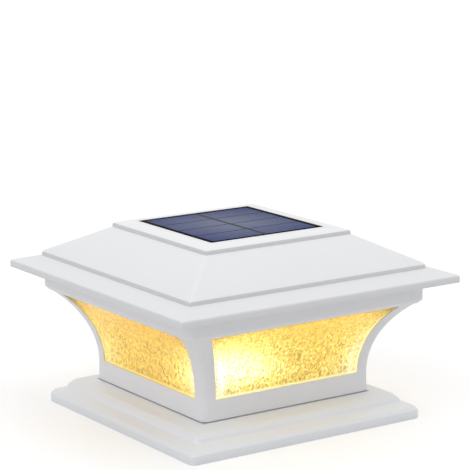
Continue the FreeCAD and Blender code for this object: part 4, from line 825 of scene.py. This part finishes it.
def turn_screw(bm, centre, face_z, into, head, shank):
    """Add one cross-head screw: face_z is its head's face, into is the way its shank goes.

    head is (radius, height), shank is (radius, length); the shank has ridges as deep as a
    thread.
    """
    head_radius, head_height = head
    radius, length = shank
    ridges = int(length / THREAD_PITCH) - 1
    profile = [(0.0, 0.0), (head_radius - HEAD_EASE, 0.0), (head_radius, HEAD_EASE),
               (head_radius, head_height), (radius, head_height)]
    for ridge in range(ridges):
        low = head_height + THREAD_PITCH * (ridge + 0.5)
        profile += [(radius * THREAD_ROOT, low), (radius, low + THREAD_PITCH / 2)]
    profile += [(radius * THREAD_ROOT, head_height + length - POINT_SHARE * radius),
                (0.0, head_height + length)]
    verts = [bm.verts.new((centre[0] + across, centre[1], face_z + into * along))
             for across, along in profile]
    edges = [bm.edges.new(pair) for pair in zip(verts, verts[1:])]
    bmesh.ops.spin(
        bm, geom=verts + edges, cent=(centre[0], centre[1], 0), axis=(0, 0, 1),
        angle=math.tau, steps=SCREW_STEPS, use_merge=True)
    bmesh.ops.remove_doubles(bm, verts=bm.verts, dist=MERGE)
    cut_cross(bm, centre, face_z, into, head_radius)


def cut_cross(bm, centre, face_z, into, head_radius):
    """Sink a tapered cross into the face of a screw's head."""
    arm = CROSS_ARM * head_radius
    width = CROSS_WIDTH * head_radius

    def in_head(vert):
        radius = math.hypot(vert.co.x - centre[0], vert.co.y - centre[1])
        return abs(vert.co.z - face_z) < MERGE and radius < head_radius

    def head_faces():
        return [face for face in bm.faces if all(in_head(vert) for vert in face.verts)]

    for axis in (0, 1):
        for offset in (-arm, -width, width, arm):
            faces = head_faces()
            around = dict.fromkeys(
                part for face in faces for part in list(face.edges) + list(face.verts))
            spot = [centre[0], centre[1], face_z]
            spot[axis] += offset
            way = [0.0, 0.0, 0.0]
            way[axis] = 1.0
            bmesh.ops.bisect_plane(
                bm, geom=faces + list(around), dist=MERGE / 10, plane_co=spot, plane_no=way)
    cross = []
    for face in head_faces():
        middle = face.calc_center_median()
        x, y = abs(middle.x - centre[0]), abs(middle.y - centre[1])
        if min(x, y) < width and max(x, y) < arm:
            cross.append(face)
    sunk = bmesh.ops.extrude_face_region(bm, geom=cross)
    bmesh.ops.delete(bm, geom=cross, context="FACES")
    for part in sunk["geom"]:
        if isinstance(part, bmesh.types.BMVert):
            part.co.x = centre[0] + (part.co.x - centre[0]) * CROSS_TAPER
            part.co.y = centre[1] + (part.co.y - centre[1]) * CROSS_TAPER
            part.co.z += into * CROSS_DEPTH * head_radius


def make_screws(word, into, head, shank):
    """All screws of one node, each where the node's box has its corner."""
    node = f"{word}_screws"
    low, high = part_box(node)
    radius = head[0]
    across = (low[0] + radius, high[0] - radius)
    along = sorted({round(low[1] + radius, 5), round(high[1] - radius, 5)})
    face_z = low[2] if into > 0 else high[2]
    bm = bmesh.new()
    for x in across:
        for y in along:
            turn_screw(bm, (x, y), face_z, into, head, shank)
    finish_piece(f"cross_head_{node}", bm, "lamp", "screw_steel", node, 28.0)


# ---- studio -------------------------------------------------------------------------------
FLOOR_HALF = 12.0
FLOOR_LIFT = 0.36
# Name of the light and of its setting; spread, azimuth from +X towards +Y and elevation, in
# degrees.
SUNS = (
    ("right_light", 50.0, -60.0, 60.0),
    ("left_light", 50.0, 190.0, 40.0),
    ("back_light", 60.0, 60.0, 60.0),
)
CAMERA_PLACE = Vector((-0.73100, -1.08411, 0.38618))
CAMERA_AIM = Vector((0.00251, -0.00170, 0.11619))
CAMERA_ROLL = -0.371
CAMERA_LENS = 158.82
CAMERA_SENSOR = 36.0


def floor_material(colour):
    """Pale floor that shows white to the eye, and keeps the object's shadow."""
    paint = new_paint("studio_floor")
    speckle = paint.cloud(paint.place(), 3.0, 2.0)
    shade = paint.blend(speckle, rgba(colour, 0.995), rgba(colour))
    plain = paint.node("ShaderNodeBsdfDiffuse", {}, {"Color": shade})
    white = paint.node("ShaderNodeEmission", {}, {
        "Color": WHITE, "Strength": paint.seen_white() * FLOOR_LIFT})
    both = paint.node("ShaderNodeAddShader", {}, {0: plain, 1: white})
    paint.node("ShaderNodeOutputMaterial", {}, {"Surface": both})
    return paint.owner


def add_floor(colour):
    bm = bmesh.new()
    bmesh.ops.create_grid(bm, x_segments=4, y_segments=4, size=FLOOR_HALF)
    mesh = bpy.data.meshes.new("studio_floor")
    bm.to_mesh(mesh)
    bm.free()
    floor = bpy.data.objects.new("studio_floor", mesh)
    bpy.context.collection.objects.link(floor)
    mesh.materials.append(floor_material(colour))


def white_room(sky):
    """World that lights evenly and shows white behind the object."""
    world = bpy.data.worlds.new("white_room")
    bpy.context.scene.world = world
    paint = Paint(world)
    background = paint.node("ShaderNodeBackground", {}, {
        "Color": WHITE, "Strength": paint.between(paint.seen_white(), sky, 1.0)})
    paint.node("ShaderNodeOutputWorld", {}, {"Surface": background})


def add_sun(name, strength, spread, azimuth, elevation):
    """Soft light from a direction; the angles are degrees."""
    data = bpy.data.lights.new(name, "SUN")
    data.energy = strength
    data.angle = math.radians(spread)
    lamp = bpy.data.objects.new(name, data)
    bpy.context.collection.objects.link(lamp)
    around, up = math.radians(azimuth), math.radians(elevation)
    towards = Vector((
        math.cos(around) * math.cos(up), math.sin(around) * math.cos(up), math.sin(up)))
    lamp.rotation_euler = towards.to_track_quat("Z", "Y").to_euler()


def add_camera():
    """Camera at the photograph's viewing angle."""
    data = bpy.data.cameras.new("photo_camera")
    data.sensor_width = CAMERA_SENSOR
    data.lens = CAMERA_LENS
    camera = bpy.data.objects.new("photo_camera", data)
    bpy.context.collection.objects.link(camera)
    camera.location = CAMERA_PLACE
    level = (CAMERA_PLACE - CAMERA_AIM).to_track_quat("Z", "Y").to_matrix()
    roll = Matrix.Rotation(math.radians(CAMERA_ROLL), 3, "Z")
    camera.rotation_euler = (level @ roll).to_euler()
    bpy.context.scene.camera = camera


# ---- operators ----------------------------------------------------------------------------
class CAPLIGHT_OT_materials(bpy.types.Operator):
    """Make the finishes"""
    bl_idname = "cap_light.materials"
    bl_label = "Finishes"

    def execute(self, context):
        MATERIALS.update(make_materials(context.scene.cap_light_colours))
        return {"FINISHED"}


class CAPLIGHT_OT_housing(bpy.types.Operator):
    """Ease and dress the base, the lantern's body and the roof"""
    bl_idname = "cap_light.housing"
    bl_label = "Housing"

    def execute(self, context):
        dress("roof_seal")
        for row in HOUSING:
            soften_node(*row)
        return {"FINISHED"}


class CAPLIGHT_OT_panes(bpy.types.Operator):
    """Make the four hammered window panes"""
    bl_idname = "cap_light.panes"
    bl_label = "Window panes"

    def execute(self, context):
        need_finishes()
        for word, quarter in QUARTERS.items():
            make_pane(word, quarter, context.scene.cap_light_sizes)
        return {"FINISHED"}


class CAPLIGHT_OT_solar_panel(bpy.types.Operator):
    """Dress the solar panel and lay its resin cover over the cells"""
    bl_idname = "cap_light.solar_panel"
    bl_label = "Solar panel"

    def execute(self, context):
        dress("panel_seal", "solar_backing", "solar_cells")
        make_panel_cover()
        return {"FINISHED"}


class CAPLIGHT_OT_lamp(bpy.types.Operator):
    """Light the lamp: reflector, LED board and frosted shade"""
    bl_idname = "cap_light.lamp"
    bl_label = "Lamp"

    def execute(self, context):
        dress("reflector_plate", "led_board", "leds", "led_diffuser", "led_leads")
        return {"FINISHED"}


class CAPLIGHT_OT_screws(bpy.types.Operator):
    """Make the cross-head screws of the roof, the tray and the board"""
    bl_idname = "cap_light.screws"
    bl_label = "Screws"

    def execute(self, context):
        need_finishes()
        for row in SCREWS:
            make_screws(*row)
        return {"FINISHED"}


class CAPLIGHT_OT_tray(bpy.types.Operator):
    """Dress the tray, the battery and its door, the board and the switch"""
    bl_idname = "cap_light.tray"
    bl_label = "Tray and battery"

    def execute(self, context):
        dress("bottom_tray", "battery_cell", "battery_contact", "battery_spring", "door_pin",
              "main_board", "board_parts", "switch_body", "panel_lead_red", "panel_lead_black")
        for row in MOVING_PIECES:
            soften_node(*row)
        return {"FINISHED"}


class CAPLIGHT_OT_stage(bpy.types.Operator):
    """Set the floor, the soft studio light and the camera"""
    bl_idname = "cap_light.stage"
    bl_label = "Studio"

    def execute(self, context):
        stage = context.scene.cap_light_stage
        add_floor(stage.floor)
        white_room(stage.sky)
        for name, spread, azimuth, elevation in SUNS:
            add_sun(name, getattr(stage, name), spread, azimuth, elevation)
        add_camera()
        context.scene.view_settings.view_transform = "Standard"
        return {"FINISHED"}


class CAPLIGHT_PT_panel(bpy.types.Panel):
    bl_label = "Cap Light"
    bl_idname = "CAPLIGHT_PT_panel"
    bl_space_type = "VIEW_3D"
    bl_region_type = "UI"
    bl_category = "Cap Light"

    def draw(self, context):
        column = self.layout.column()
        for operator in OPERATORS:
            column.operator(operator.bl_idname)
        for group in SETTINGS:
            settings = getattr(context.scene, group)
            for key in settings.bl_rna.properties.keys():
                if key not in ("rna_type", "name"):
                    column.prop(settings, key)


OPERATORS = (
    CAPLIGHT_OT_materials, CAPLIGHT_OT_housing, CAPLIGHT_OT_panes, CAPLIGHT_OT_solar_panel,
    CAPLIGHT_OT_lamp, CAPLIGHT_OT_screws, CAPLIGHT_OT_tray, CAPLIGHT_OT_stage,
)
SETTINGS = {
    "cap_light_sizes": CapLightSizes,
    "cap_light_colours": CapLightColours,
    "cap_light_stage": CapLightStage,
}
CLASSES = tuple(SETTINGS.values()) + OPERATORS + (CAPLIGHT_PT_panel,)


def register():
    for item in CLASSES:
        bpy.utils.register_class(item)
    for name, group in SETTINGS.items():
        setattr(bpy.types.Scene, name, bpy.props.PointerProperty(type=group))


def unregister():
    for name in SETTINGS:
        delattr(bpy.types.Scene, name)
    for item in reversed(CLASSES):
        bpy.utils.unregister_class(item)


def main():
    register()
    bpy.ops.cap_light.materials()
    bpy.ops.cap_light.housing()
    bpy.ops.cap_light.panes()
    bpy.ops.cap_light.solar_panel()
    bpy.ops.cap_light.lamp()
    bpy.ops.cap_light.screws()
    bpy.ops.cap_light.tray()
    bpy.ops.cap_light.stage()


if __name__ == "__main__":
    main()
